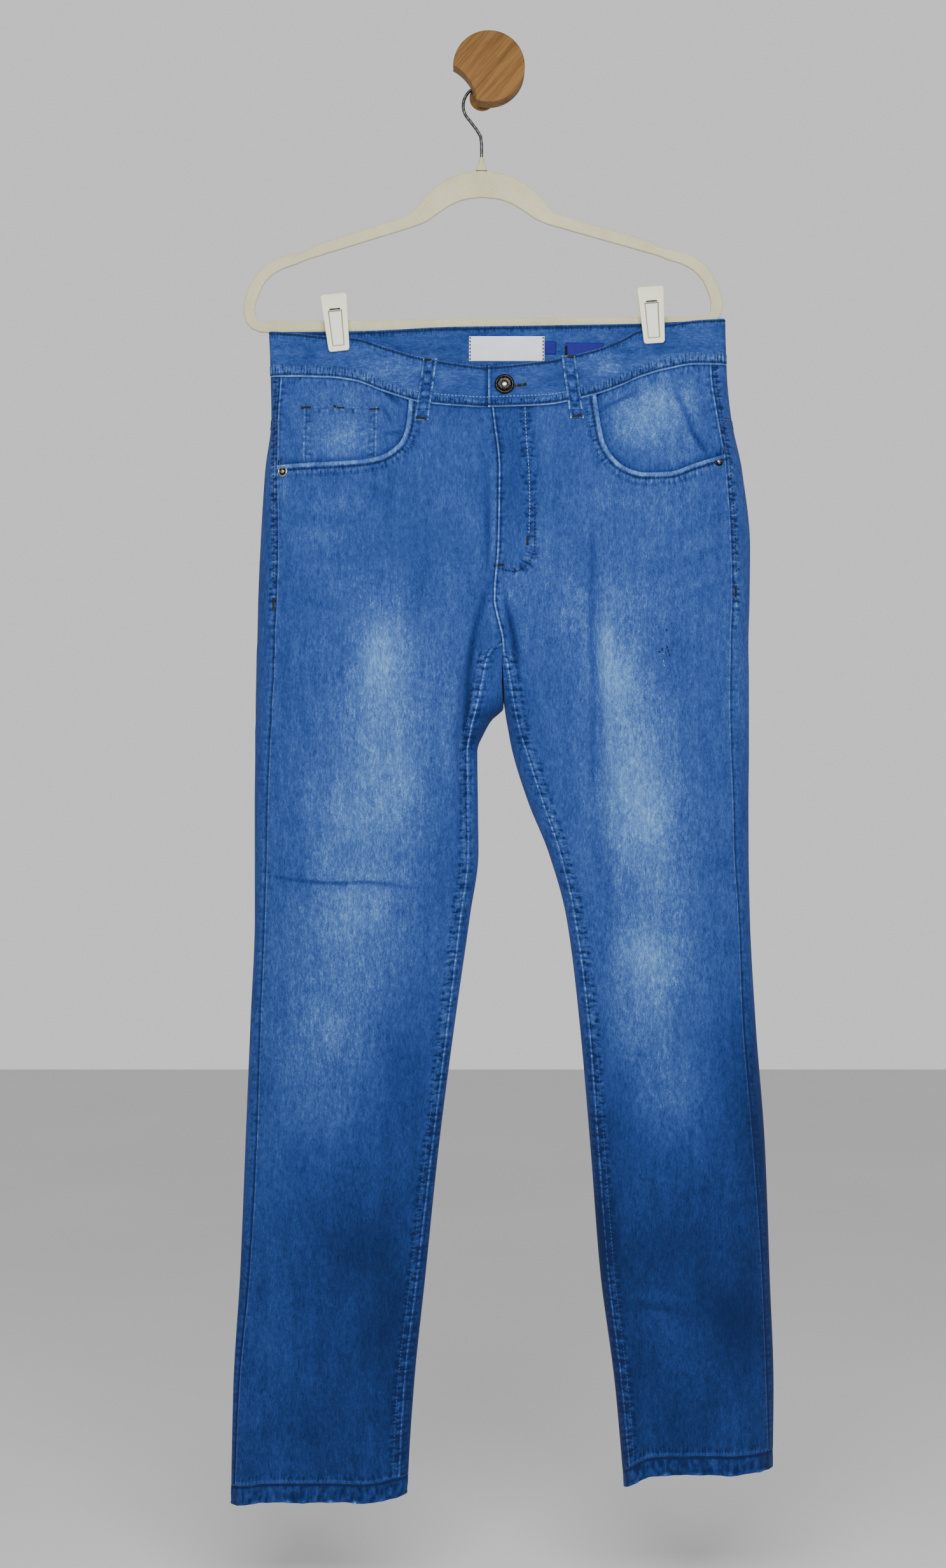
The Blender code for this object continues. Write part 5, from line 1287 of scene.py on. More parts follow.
def hem_grid(leg):
    parts = ((0, 2, 9), (2, 5, 18), (5, 9, 22), (9, 12, 18), (12, 14, 8))
    turns = np.concatenate([[0.0]] + [np.linspace(*part)[1:] for part in parts])
    depth = leg.hem["top"] - SEAM / 3 - leg.hem["bottom"]
    z = (leg.hem["top"] - SEAM / 3 - depth * spaced(depth, 1.6))[:, None]
    x = mix(leg.line("outseam", z), leg.line("inseam", z), np.linspace(1, 0, 62)[1:-1])
    grid = sheet_of(np.concatenate([leg.around(turns, z), leg.at("front", x, z)], 1), leg_outward(leg), wrap=True)
    _, _, top, bottom = edge_distances(grid["at"])
    around = reach_along(grid["at"][0], 0)
    # Roping: the turned cloth twists in soft slanting ridges, and its lower edge is worn through in places.
    total = around[-1]
    twists = round(total / 13)
    phase = 2 * pi * (around / total * twists + 0.035 * bottom) + 1.9 * np.sin(2 * pi * around / total * 9)
    rope = np.sin(phase) * smooth(0.6, 4, bottom) * smooth(0.5, 2.5, top)
    height = 0.22 * rope + 0.35 * smooth(3.2, 1.0, bottom) - bump_at(top, 2.6, 1.2, 0.45)
    height -= 0.8 * (1 - quarter(bottom / 1.1)) + 0.3 * (1 - quarter(top / 0.8))
    px = pixel_of(grid["at"])[0]
    wash = tone_at(grid["at"], "front") + 0.07 * rope * smooth(0, 6, bottom) + 0.05 * smooth(2.4, 0.8, bottom)
    # The hem's folded top is pale on its crown, with painted shadow below it.
    wash += 0.22 * smooth(1.2, 0.4, top) - bump_at(top, 2.8, 1.9, 0.30)
    streaky = np.sin(around * 0.83 + 2.0 * np.sin(around * 0.31))
    streaky += 0.6 * np.sin(around * 2.1 + 1.3 * np.sin(around * 0.47))
    wash += 0.035 * streaky * smooth(1.5, 4, top) * smooth(0, 3, bottom)
    frayed = np.zeros(top.shape)
    for spot, half, size in WORN_SPOTS:
        frayed += size * np.exp(-(((px - spot) / half) ** 2))
    shown = (grid["at"][..., 1] < leg.depth.read("edge", -1300.0)).astype(float)
    wash += shown * frayed * smooth(4.5, 0.8, bottom)
    wash += (1 - shown) * 0.2 * smooth(0.5, 1, np.sin(around * 0.21)) * smooth(3, 0.6, bottom)
    ragged = 0.45 * np.sin(around * 0.083) + 0.25 * np.sin(around * 0.21 + 1.0) + 0.12 * np.sin(around * 0.57 + 0.4)
    grid["at"][..., 2] += (ragged - 0.9 * shown * frayed) * smooth(8, 0, bottom)
    return worked(grid, height, wash, [(bottom, around * 0.8, 0.45, 16.0)])


grids, cloth = {}, {}


def sheet(name, *parts, thickness=DENIM, finish=DENIM_DOWN, reverse=1.0):
    """Makes a sheet of cloth on its grids, in place of the plain solid of its name."""
    grids[name] = parts[0]
    cloth[name] = shell(f"jeans_{name}", parts, thickness, finish, name, reverse)


for leg in LEGS:
    sheet(f"front_{leg.name}", front_grid(leg))
    sheet(f"back_{leg.name}", *back_grid(leg))
    sheet(f"yoke_{leg.name}", yoke_grid(leg))
    sheet(f"hem_{leg.name}", hem_grid(leg), thickness=HEM, reverse=0)


# ---------------------------------------------------------------- waistband, pockets, fly and what lies on them

BAND_STEP = 2.6
TURN_ANGLES = (90, 74, 58, 42, 28, 14, 0)
BAND_MIDDLE_Z, BAND_CORE_Y = -240.0, -13.2
FLY_EDGE_X, BAND_ENDS_X, UNDERLAP_X = 5.3, (-190, 218), (-20, 37)


def steps_to(start, end):
    return np.linspace(start, end, max(2, int(round(abs(end - start) / BAND_STEP)) + 1))


def band_strip(face, v, xs=None, leg=None, angles=None):
    if leg:
        bend = 1 - np.cos(np.radians(angles))
        guess = leg.line("outer", BAND_MIDDLE_Z) - leg.side * WAIST_ROUND * bend
    else:
        guess = xs
    if face == "front":
        top, low = front_band.read("top", guess), front_band.read("seam", guess)
    else:
        top = back_band.read("top", guess)
        low = top - BAND_HEIGHT
    z = mix(top, low, v)
    x = guess
    if leg:
        pinch = 1 - smooth(PINCH_TOP_Z, PINCH_END_Z, z)
        reach = mix(leg.depth.read("round", z), WAIST_ROUND, pinch)
        x = leg.line("outer", z) - leg.side * reach * bend
    return both_legs(face, x, z)


def band_outwards(points):
    return stack(0, points[..., 1] - BAND_CORE_Y, 0)


def band_grid():
    v = spaced(43, 1.7)[:, None]
    angles = np.array(TURN_ANGLES, float)
    left_x, right_x = BAND_ENDS_X
    fly_edge = FLY_EDGE_X + EDGE_STEPS
    under = steps_to(*UNDERLAP_X)
    strips = [
        band_strip("front", v, xs=np.concatenate([fly_edge[:-1], steps_to(fly_edge[-1], right_x)])),
        band_strip("front", v, leg=right_leg, angles=angles),
        band_strip("back", v, leg=right_leg, angles=angles[::-1]),
        band_strip("back", v, xs=steps_to(right_x, left_x)),
        band_strip("back", v, leg=left_leg, angles=angles),
        band_strip("front", v, leg=left_leg, angles=angles[-2::-1]),
        band_strip("front", v, xs=np.concatenate([steps_to(left_x, UNDERLAP_X[0] - 2), under])),
    ]
    points = np.concatenate(strips, axis=1)
    grid = sheet_of(points, band_outwards)
    # The lower layer is tucked in behind the upper one at the fly.
    x = points[..., 0]
    last = np.zeros(x.shape)
    last[:, -len(under):] = 1
    tuck = UNDERLAP_DEPTH * smooth(UNDERLAP_FROM_X, UNDERLAP_FULL_X, x) * last
    run, _, top, bottom = edge_distances(points)
    px, py = pixel_of(points)
    on_back = np.zeros(x.shape)
    low = sum(strip.shape[1] for strip in strips[:2])
    high = low + strips[2].shape[1] + strips[3].shape[1] + strips[4].shape[1]
    on_back[:, low:high] = 1
    front = 1 - on_back

    # Two sewn rows low on the band with the cloth drawn up between them, and one beside its top edge.
    rise = mix(10.5, 7.0, smooth(110, 30, np.abs(x - OVERLAP_X)))
    between = smooth(1.0, 2.6, bottom) * smooth(rise + 1.5, rise - 1.0, bottom)
    height = -0.9 * (1 - quarter(np.minimum(top, 2.2) / 1.5)) - 0.3 * (1 - quarter(bottom / 0.8))
    height += -bump_at(top, 2.6, 1.1, 0.35) - bump_at(bottom, 2.1, 1.0, 0.4) - bump_at(bottom - rise, 0, 1.2, 0.3)
    height += -0.8 * (1 - quarter(run / 1.4)) + 0.35 * between
    sag = 0.5 * np.sin(run * 0.062 + 0.6) * np.sin(run * 0.021 + 1.1) * smooth(rise, 20, bottom)
    height += sag
    wash = tone_at(points, "front") - 0.02
    wash += fades_and_shade_at(px, py, BAND_FADES) * front
    wash += 0.20 * smooth(0.9, 0.2, top) - bump_at(top, 2.3, 1.8, 0.40)
    wash += front * (0.44 * smooth(1.5, 0.5, bottom) - bump_at(bottom, 2.6, 1.4, 0.34))
    wash += 0.06 * between + 0.10 * bump_at(bottom - rise, -1.5, 1.6, 1.0) * smooth(120, 30, np.abs(x - OVERLAP_X))
    wash += 0.46 * smooth(1.9, 0.8, run) - bump_at(run, 3.2, 1.3, 0.20) - 0.10 * sag
    smudge = np.sin(run * 0.11 + 2.0 * np.sin(run * 0.043)) * np.exp(-(((bottom - 22) / 8) ** 2))
    wash -= 0.08 * smooth(0.2, 0.9, smudge)
    wash -= 0.06 * smooth(0.3, 1.0, np.sin(run * 0.19 + 1.0)) * np.exp(-(((bottom - 30) / 5) ** 2))
    # Painted shadow on the lower layer where it is tucked in behind the upper one.
    wash -= 0.36 * last * smooth(-1, 4.6, x)
    lines = [(bottom, 2.1 * run, 0.95 * between + 0.1, 13.0), (top, 2.1 * run, 0.5, 6.0)]
    grid["back"] = (low, high)
    return worked(grid, height - tuck, wash, lines)


sheet("waistband", band_grid(), thickness=BAND, finish=DENIM_ACROSS, reverse=0)


def even_ends(count):
    """Stations from 0 to 1, closer together near both ends."""
    t = np.linspace(0, 1, count)
    return mix(t, (1 - np.cos(pi * t)) / 2, 0.75)


def patch_grid(face, corners, s, v, lift):
    """A piece laid on the front or the back. corners(s, v) gives its x and z."""
    s, v = np.meshgrid(s, v)
    way, creases = (-1.0, FRONT_CREASES) if face == "front" else (1.0, BACK_CREASES)
    points = both_legs(face, *corners(s, v))
    points[..., 1] -= way * creased(*pixel_of(points), creases)[0]
    grid = sheet_of(points, lambda _: np.array([0.0, way, 0.0]))
    grid["at"] = grid["at"] + grid["normal"] * lift
    return grid, s, v


FACING_DEPTH, COIN_DEPTH, COIN_CLOTH = 2.9, 1.55, 1.0
FACINGS = {"left": {"inner": -52.0, "bottom": -368.0}, "right": {"inner": 92.0, "bottom": -376.0}}
COIN = {"left": -166.5, "right": -98.5, "top": -294.6, "bottom": -366.0}
# Creases of the pocket facings, with the same columns: their tone is painted shade in the hollows and painted light
# on the ridges.
FACING_CREASES = (
    (5, 1.3, -0.34, ((940, 648), (950, 640), (962, 634), (980, 626), (1004, 614))),
    (8, -0.8, 0.08, ((944, 662), (966, 651), (988, 639))),
    (9, 1.5, -0.30, ((1056, 600), (1066, 622), (1078, 648), (1092, 681), (1113, 713))),
    (4, 1.0, -0.26, ((1082, 668), (1098, 694), (1115, 717))),
    (9, -0.8, 0.06, ((1066, 672), (1084, 700), (1096, 716))),
    (4, 1.1, -0.34, ((600, 682), (615, 680), (632, 678))),
    (6, 1.2, -0.34, ((594, 606), (612, 622), (634, 640))),
    (7, 0.9, -0.26, ((598, 630), (608, 650), (618, 668))),
    (9, 0.6, -0.07, ((440, 640), (452, 660), (462, 690))),
)


def facing_grid(leg):
    """The cloth in the pocket mouth: flush with the band and the outseam, and sunk behind the mouth's edge."""
    size = FACINGS[leg.name]

    def corners(s, v):
        x_high = mix(leg.line("outseam", UNDER_BAND_Z), size["inner"], s)
        z = mix(band_seam("front", x_high) - SEAM, size["bottom"], v)
        return mix(leg.line("outseam", z), size["inner"], s), z

    stations = spaced(140, 2.4), spaced(96, 2.4)
    s, v = np.meshgrid(*stations)
    x, z = corners(s, v)
    grid, s, v = patch_grid("front", corners, *stations, 0)
    out, _, top, _ = edge_distances(grid["at"])
    far, _ = from_mouth(leg, x, z)
    flush = smooth(16, 2, np.minimum(top, out)) * smooth(1, 12, -far)
    raised(grid, mix(-FACING_DEPTH, -0.5, flush) - 0.2 * (1 - quarter(np.minimum(top, out) / 0.8)))
    depth, tone = creased(*pixel_of(grid["at"]), FACING_CREASES)
    grid["at"][..., 1] += depth
    grid["normal"] = normals_of(grid["at"], False) * grid["sign"]
    px, py = pixel_of(grid["at"])
    wash = tone_at(grid["at"], "front") + 0.03 + fades_and_shade_at(px, py, FACING_FADES_AND_SHADE) + tone
    # Painted shadow under the waistband along the top and under the mouth's lip; a pale line along the outseam.
    wash += -0.28 * smooth(2.6, 0.4, top) + 0.36 * smooth(1.7, 0.7, out) - bump_at(out, 2.6, 1.4, 0.16)
    wash += -0.16 * smooth(8, 0.5, -far) - 0.20 * smooth(2.4, 0.2, -far)
    grid["values"] = {"wash": wash, "seam": seam_of([(top, 150 * s, 0.5, 7.0), (out, 90 * v, 0.6, 6.0)])}
    return grid


def coin_grid():
    def corners(s, v):
        x = mix(COIN["left"], COIN["right"], s)
        return x, mix(COIN["top"] - 1.5 * np.abs(2 * s - 0.8), COIN["bottom"], v)

    grid, s, v = patch_grid("front", corners, spaced(68, 2.2), spaced(68, 2.2), -COIN_DEPTH)
    left, right, top, _ = edge_distances(grid["at"])
    side = np.minimum(left, right)
    px, py = pixel_of(grid["at"])
    wash = tone_at(grid["at"], "front") + 0.04 + fades_and_shade_at(px, py, FACING_FADES_AND_SHADE)
    wash += 0.26 * smooth(1.5, 0.5, side) + 0.16 * smooth(1.3, 0.5, top)
    wash += -bump_at(side, 2.4, 1.2, 0.20) - bump_at(top, 2.2, 1.1, 0.08)
    far, _ = from_mouth(left_leg, mix(COIN["left"], COIN["right"], s), grid["at"][..., 2])
    # Darker beside the second rows, and painted shadow where the coin pocket lies under the mouth's lip.
    wash += -bump_at(side, 7.2, 1.2, 0.10) - bump_at(top, 7.6, 1.2, 0.06) - 0.26 * smooth(7, 0.5, -far)
    height = -0.3 * (1 - quarter(np.minimum(side, top) / 0.8))
    for far, where, deep in ((side, 2.0, 0.22), (top, 2.0, 0.22), (side, 7.0, 0.18), (top, 7.4, 0.18)):
        height -= bump_at(far, where, 1.0, deep)
    return worked(grid, height, wash, [(side, 68 * v, 0.7, 8.0), (top, 68 * s, 0.7, 8.0)])


BACK_POCKET = {"top": -368.0, "side": -492.0, "tip": -512.0, "width_top": 146.0, "width_low": 126.0}
BACK_POCKET_X = {"left": -84.0, "right": 120.0}


def back_pocket_grid(leg):
    size, centre = BACK_POCKET, BACK_POCKET_X[leg.name]

    def corners(s, v):
        half = mix(size["width_top"], size["width_low"], v) / 2
        low = mix(size["tip"], size["side"], np.abs(2 * s - 1))
        return centre + half * (2 * s - 1), mix(size["top"], low, v)

    grid, s, v = patch_grid("back", corners, spaced(138, 3.2), spaced(134, 3.2), DENIM + SEAM)
    left, right, top, bottom = edge_distances(grid["at"])
    rim = np.minimum(np.minimum(left, right), bottom)
    wash = tone_at(grid["at"], "back") + 0.06 + 0.16 * np.exp(-(((s - 0.5) / 0.3) ** 2 + ((v - 0.45) / 0.35) ** 2))
    edge = np.minimum(rim, top)
    wash += 0.26 * smooth(1.7, 0.5, edge)
    height = -0.35 * (1 - quarter(edge / 0.9)) + 0.3 * smooth(13.5, 12, top)
    # Each sewn row sinks the cloth and darkens it along a line beside the sunk one.
    for far, sunk, deep, darkened_at, half, dark in (
        (rim, 2.1, 0.25, 2.4, 1.1, 0.12), (rim, 8.6, 0.2, 8.8, 1.2, 0.10),
        (top, 2.8, 0.25, 3.0, 1.2, 0.10), (top, 12.8, 0.2, 13.0, 1.2, 0.10),
    ):
        height -= bump_at(far, sunk, 1.0, deep)
        wash -= bump_at(far, darkened_at, half, dark)
    return worked(grid, height, wash, [(rim, 130 * (s + v), 0.9, 10.0), (top, 130 * s, 0.6, 14.0)])


FLY = {"left": -6.0, "right": 36.0, "top": -301.5, "bottom": -450.0}


def fly_grid():
    def corners(s, v):
        z = mix(FLY["top"], FLY["bottom"], v)
        return right_leg.line("inner", z) + mix(FLY["left"], FLY["right"] - 14 * v ** 3, s), z

    grid, _, _ = patch_grid("front", corners, np.linspace(0, 1, 16), np.linspace(0, 1, 48), -(DENIM + 0.5))
    grid["values"] = {"wash": tone_at(grid["at"], "front") - 0.1}
    return grid


LOOP_SHOWN, LOOP_LONG, LOOP_CLOTH, LOOP_BOW = 12.8, 59.0, 1.3, 1.6
LOOPS = (
    ("belt_loop_front_left", "front", -48.5, -252.5, -56.5, -311),
    ("belt_loop_front_right", "front", 80, -249.5, 88, -309),
    ("belt_loop_back_left", "back", -108, -224.5, -108, -283),
    ("belt_loop_back_middle", "back", 17, -221.5, 17, -279),
    ("belt_loop_back_right", "back", 134, -220.5, 134, -277),
)


def loop_grid(face, x_top, z_top, x_low, z_low):
    def corners(s, v):
        return mix(x_top, x_low, v) + LOOP_SHOWN * (s - 0.5), mix(z_top, z_low, v)

    grid, s, v = patch_grid(face, corners, even_ends(23), even_ends(72), LOOP_CLOTH + 0.45)
    grid["at"][..., 1] += (-1 if face == "front" else 1) * LOOP_BOW * np.sin(pi * v)
    down, up = LOOP_LONG * v, LOOP_LONG * (1 - v)
    side, end = LOOP_SHOWN * np.minimum(s, 1 - s), np.minimum(down, up)
    lump = np.sin(down * 0.62 + 1.2 * np.sin(6 * s + x_top)) * np.sin(3.1 * s + 0.5)
    height = -0.8 * (1 - quarter(side / 1.6)) - 0.4 * (1 - quarter(end / 1.0)) + 0.30 * lump * smooth(0.5, 3, side)
    height += -bump_at(side, 2.4, 0.9, 0.28) + 0.35 * smooth(9.5, 8.0, up) + 0.35 * smooth(8, 6.5, down)
    wash = tone_at(grid["at"], "front") - 0.02 + 0.36 * smooth(1.9, 0.7, side) - bump_at(side, 2.7, 1.1, 0.18)
    blob = np.sin(down * 0.47 + x_top) * np.cos(2 * pi * (s - 0.5))
    wash += 0.30 * smooth(1.4, 0.5, end) - 0.20 * smooth(0.1, 0.8, blob) + 0.12 * smooth(0.1, 0.8, -blob)
    for far, where, half, tone in ((up, 9.0, 1.2, 0.36), (up, 10.6, 1.0, -0.16), (down, 7.6, 1.3, 0.16)):
        wash += bump_at(far, where, half, tone)
    return worked(grid, height, wash, [(side, down + x_top, 0.9, 6.0)])


LABEL_CLOTH = 1.0
LABELS = (
    ("label_main", -12.5, 58.5, -227.8, -251),
    ("label_size", 59, 69.5, -232.5, -244.5),
    ("label_care", 78.5, 114, -233.7, -259),
)


def label_grid(x_left, x_right, z_top, z_low):
    def corners(s, v):
        return mix(x_left, x_right, s), mix(z_top, z_low, v)

    across = max(12, int((x_right - x_left) / 1.6))
    grid, s, v = patch_grid("back", corners, even_ends(across), even_ends(18), -(BAND + 0.5))
    edge = np.minimum(np.minimum(s, 1 - s) * (x_right - x_left), np.minimum(v, 1 - v) * (z_top - z_low))
    wave = 0.22 * np.sin(0.24 * (x_right - x_left) * s + 1.0) * np.sin(2.6 * v + 0.5)
    grid["at"][..., 1] -= wave * smooth(0, 3, edge)
    grid["at"][..., 1] += 0.3 * (1 - quarter(edge / 0.8))
    return grid


sheet("coin_pocket", coin_grid(), thickness=COIN_CLOTH)
sheet("fly_shield", fly_grid())
for leg in LEGS:
    sheet(f"pocket_facing_{leg.name}", facing_grid(leg))
    sheet(f"back_pocket_{leg.name}", back_pocket_grid(leg))
for row in LOOPS:
    sheet(row[0], loop_grid(*row[1:]), thickness=LOOP_CLOTH, reverse=0)
for row in LABELS:
    finish = LABEL_WHITE if row[0] == "label_main" else LABEL_BLUE
    sheet(row[0], label_grid(*row[1:]), thickness=LABEL_CLOTH, finish=finish)

# ---------------------------------------------------------------- seams sewn

def on_grid(grid, s, v):
    """The points and normals at shares across and down a grid."""
    rows, columns = grid["at"].shape[:2]
    s, v = np.broadcast_arrays(np.atleast_1d(s) * (columns - 1.0), np.atleast_1d(v) * (rows - 1.0))
    i, k = v.astype(int), s.astype(int)
    a, b = (v - i)[:, None], (s - k)[:, None]
    return [
        mix(mix(values[i, k], values[i, k + 1], b), mix(values[i + 1, k], values[i + 1, k + 1], b), a)
        for values in (grid["at"], grid["normal"])
    ]


def above_z(points_and_normals, low=-1e9, high=1e9):
    """The part of a line between two heights."""
    points, normals = points_and_normals
    keep = (points[:, 2] >= low) & (points[:, 2] <= high)
    return points[keep], normals[keep]


def bar(middle, normal, direction, length):
    """A short straight bar on the cloth, for a bartack."""
    t = np.linspace(-0.5, 0.5, 8)[:, None] * length
    return middle + t * unit(np.array(direction, float)), np.tile(normal, (8, 1))


def bar_on(grid, s, v, direction, length, lift=0.15):
    """A bar laid on a grid."""
    (point,), (normal,) = on_grid(grid, s, v)
    return bar(point + normal * lift, normal, direction, length)


tonal, pale_rows, dark_rows, bars = [], [], [], []
for leg in LEGS:
    kinds = ("front", "back", "yoke", "hem", "back_pocket")
    front, back, yoke, hem, pocket = (grids[f"{kind}_{leg.name}"] for kind in kinds)
    for distance, lift, rows in ((5.2, -0.35, dark_rows), (11.3, 0.05, tonal)):
        x, z = mouth_curve(leg, distance).T
        on = (leg.side * (leg.line("outseam", z) - x) > 1) & (z < band_seam("front", x) - 1.5)
        rows.append(on_cloth(x[on], z[on], lift))
    tonal.append(above_z(line_in(front, "right", 7.0), high=CROTCH_Z - 4))
    for distance in (1.6, 7.0):
        tonal.append(line_in(back, "first", distance + 1.0))
        tonal.append(above_z(line_in(back, "right", distance + 0.8), low=SADDLE_Z + 4))
    tonal += [line_in(pocket, edge, distance) for distance in (2.0, 8.6) for edge in ("left", "right", "last")]
    tonal += [line_in(pocket, "first", distance) for distance in (2.8, 12.8)]
    dark_rows.append(line_in(hem, "first", 2.4))
    low_end = -482 if leg is left_leg else -468
    dark_rows.append(above_z(line_in(back, "left", 4.0), low=low_end + 14))
    dark_rows.append(line_in(yoke, "left", 4.0))
    points, normals = line_in(back, "left", 3.2)
    middle = int(np.argmin(np.abs(points[:, 2] - low_end)))
    bars.append(bar(points[middle], normals[middle], (0, 0, 1), 11))

pale_rows.append(on_front(J_STITCH, 0.45))
dark_rows.append(on_front(J_CURVE[1:], 0.2))
bars += [on_front(path, 0.5) for path in (((829.5, 842), (829, 857)), ((777, 888), (793, 887.5)))]

# The waistband: dark rows along its top edge, outside and inside, and low down.
waist = grids["waistband"]
dark_rows.append(line_in(waist, "first", 2.3))
dark_rows.append(line_in(waist, "last", 2.4))
low, high = waist["back"]
points, normals = line_in(waist, "first", 2.0)
dark_rows.append((points[low:high] - normals[low:high] * BAND, -normals[low:high]))
points, normals = line_in(waist, "last", 10.0)
order = np.arange(len(points))
beside_fly = (np.abs(points[:, 0] - OVERLAP_X) < 78) & ((order < low) | (order >= high))
for part in (order < low, order >= high):
    pale_rows.append((points[beside_fly & part], normals[beside_fly & part]))
    tonal.append((points[part & ~beside_fly], normals[part & ~beside_fly]))
tonal.append((points[low:high], normals[low:high]))


def on_waist(path, lift):
    """Points and normals of the waistband's front below a line of pixels."""
    front = np.concatenate([waist["at"][:, :low].reshape(-1, 3), waist["at"][:, high:].reshape(-1, 3)])
    px, py = pixel_of(front)
    points = []
    for x, y in along(path, np.linspace(0, 1, 12)):
        near = front[np.argmin((px - x) ** 2 + (py - y) ** 2)]
        at_x, at_z = seen(x, y, near[1])
        points.append((at_x, near[1] - lift, at_z))
    return np.array(points), np.tile([0.0, -1.0, 0.0], (12, 1))


# The buttonhole's end, seen past the button.
bars.append(on_waist(((808, 606.6), (817, 605.3), (828, 603.4)), 0.9))
for edge in ("left", "right"):
    points, normals = line_in(grids["label_main"], edge, 1.2)
    dark_rows.append((points - normals * LABEL_CLOTH, -normals))
points, normals = on_grid(grids["label_care"], 0.05, np.linspace(0.2, 0.6, 120))
bars.append((points - normals * LABEL_CLOTH, -normals))
# Nicks in the cloth of the right thigh.
NICKS = (
    ((1046.5, 987.5), (1049.5, 993)), ((1048, 1014), (1049, 1019.5)), ((1040, 1018), (1042, 1023)),
    ((1034, 1023), (1039, 1026)), ((1051, 1020), (1050, 1025.5)), ((1052, 1027), (1052.5, 1032)),
)
FRAYS = (((1040.5, 1026), (1045, 1027.5)), ((1043.5, 1036), (1042.5, 1042)), ((1043, 1043), (1046, 1049)))
dark_rows += [on_front(path, 0.3) for path in NICKS]
pale_rows += [on_front(path, 0.2) for path in FRAYS]
coin = grids["coin_pocket"]
for distance in (1.9, 7.2):
    tonal += [line_in(coin, edge, distance) for edge in ("left", "right")]
    tonal.append(line_in(coin, "first", distance + 0.2))
for s, v, direction, length in (
    (0.095, 0.05, (1, 0, 0.05), 9.0), (0.90, 0.085, (1, 0, 0.05), 9.0), (0.50, 0.075, (1, 0, 0), 7.0),
    (0.45, 0.045, (0.6, 0, -1), 2.6),
):
    bars.append(bar_on(coin, s, v, direction, length))

for name, _, x_top, z_top, x_low, z_low in LOOPS:
    tonal += [line_in(grids[name], edge, 2.3) for edge in ("left", "right")]
    across = (z_top - z_low, 0, x_low - x_top)
    bars += [bar_on(grids[name], 0.5, v, across, 10.0, lift=0.2) for v in (0.06, 0.925)]

stitches("stitches_blue", tonal, THREAD_BLUE)
stitches("stitches_pale", pale_rows, THREAD_PALE)
stitches("stitches_dark", dark_rows, THREAD_DARK, length=2.9, wide=1.25, high=0.4)
# A bartack is a bar of close stitches laid across it.
stitches("bartacks", bars, THREAD_BAR, pitch=0.5, length=2.9, wide=0.66, high=0.55, across=True)

# ---------------------------------------------------------------- metal and plastic, modelled

def start_from_nothing():
    if bpy.context.mode != "OBJECT":
        bpy.ops.object.mode_set(mode="OBJECT")
    bpy.ops.object.select_all(action="DESELECT")


def pick_faces(select):
    """Selects the faces of the piece in hand by a test of their middles."""
    mesh = bmesh.from_edit_mesh(bpy.context.object.data)
    for face in mesh.faces:
        face.select = bool(select(face.calc_center_median(), face.normal))
    bmesh.update_edit_mesh(bpy.context.object.data)


def turned_cap(name, profile, sides, place, finishes, node):
    """A turned metal cap, drawn up ring by ring from a disc. profile is (radius, height) from the rim inwards, and
    each finish has the radius that it reaches out to."""
    start_from_nothing()
    bpy.ops.mesh.primitive_circle_add(vertices=sides, radius=profile[0][0] * MM, fill_type="NGON", location=(0, 0, 0))
    made = bpy.context.object
    made.name = made.data.name = name
    bpy.ops.object.mode_set(mode="EDIT")
    bpy.ops.mesh.select_all(action="SELECT")
    if profile[0][1]:
        bpy.ops.transform.translate(value=(0, 0, profile[0][1] * MM))
    bpy.ops.mesh.select_mode(type="FACE")
    for (r0, h0), (r1, h1) in zip(profile, profile[1:]):
        bpy.ops.mesh.extrude_region_move(TRANSFORM_OT_translate={"value": (0, 0, (h1 - h0) * MM)})
        ratio = r1 / r0
        bpy.ops.transform.resize(value=(ratio, ratio, 1), center_override=(0, 0, h1 * MM))
    bpy.ops.mesh.select_all(action="SELECT")
    bpy.ops.mesh.remove_doubles(threshold=0.00001)
    bpy.ops.mesh.normals_make_consistent(inside=False)
    bpy.ops.object.mode_set(mode="OBJECT")
    for k, (reach, finish) in enumerate(finishes):
        made.data.materials.append(finish)
        for face in made.data.polygons:
            if face.center.xy.length < reach * MM:
                face.material_index = k
    made.data.transform(place)
    made.data.shade_smooth()
    made.data.set_sharp_from_angle(angle=radians(50))
    return settle(made, node)


def standing_on(point, normal, lift):
    normal = Vector(normal)
    turn = normal.to_track_quat("Z", "Y").to_matrix().to_4x4()
    return Matrix.Translation((Vector(point) + normal * lift) * MM) @ turn


def on_leg(leg, x, z):
    """A point and normal of the front's plain surface."""
    def at(dx, dz):
        return leg.at("front", np.array(x + dx), np.array(z + dz))

    return at(0, 0), unit(np.cross(at(0.4, 0) - at(-0.4, 0), at(0, 0.4) - at(0, -0.4)))


BUTTON_PROFILE = (
    (6.8, 0.0), (7.4, 0.8), (8.5, 1.2), (8.95, 1.7), (9.1, 2.2), (8.95, 2.7), (8.5, 3.1), (7.9, 3.3), (7.3, 3.25),
    (6.8, 3.0), (6.5, 2.6), (6.3, 2.25), (5.6, 2.1), (4.0, 1.95), (3.3, 1.9), (3.0, 2.1), (2.8, 2.5),
    (2.4, 2.9), (1.8, 3.2), (1.0, 3.35), (0.25, 3.4),
)
BUTTON_BOSS = 2.9
RIVET_SHARES = (
    (1.0, 0.0), (1.0, 0.45), (0.98, 0.75), (0.92, 1.0), (0.84, 1.12), (0.76, 1.12), (0.70, 0.95), (0.66, 0.72),
    (0.50, 0.66), (0.42, 0.7), (0.39, 1.0), (0.32, 1.4), (0.22, 1.62), (0.12, 1.75), (0.03, 1.78),
)
BUTTON_AT = (20.5, -277.5)
RIVETS = {"left": (-185.5, -358.5, 4.9, 0.0), "right": (219.5, -349.5, 4.4, -0.4)}

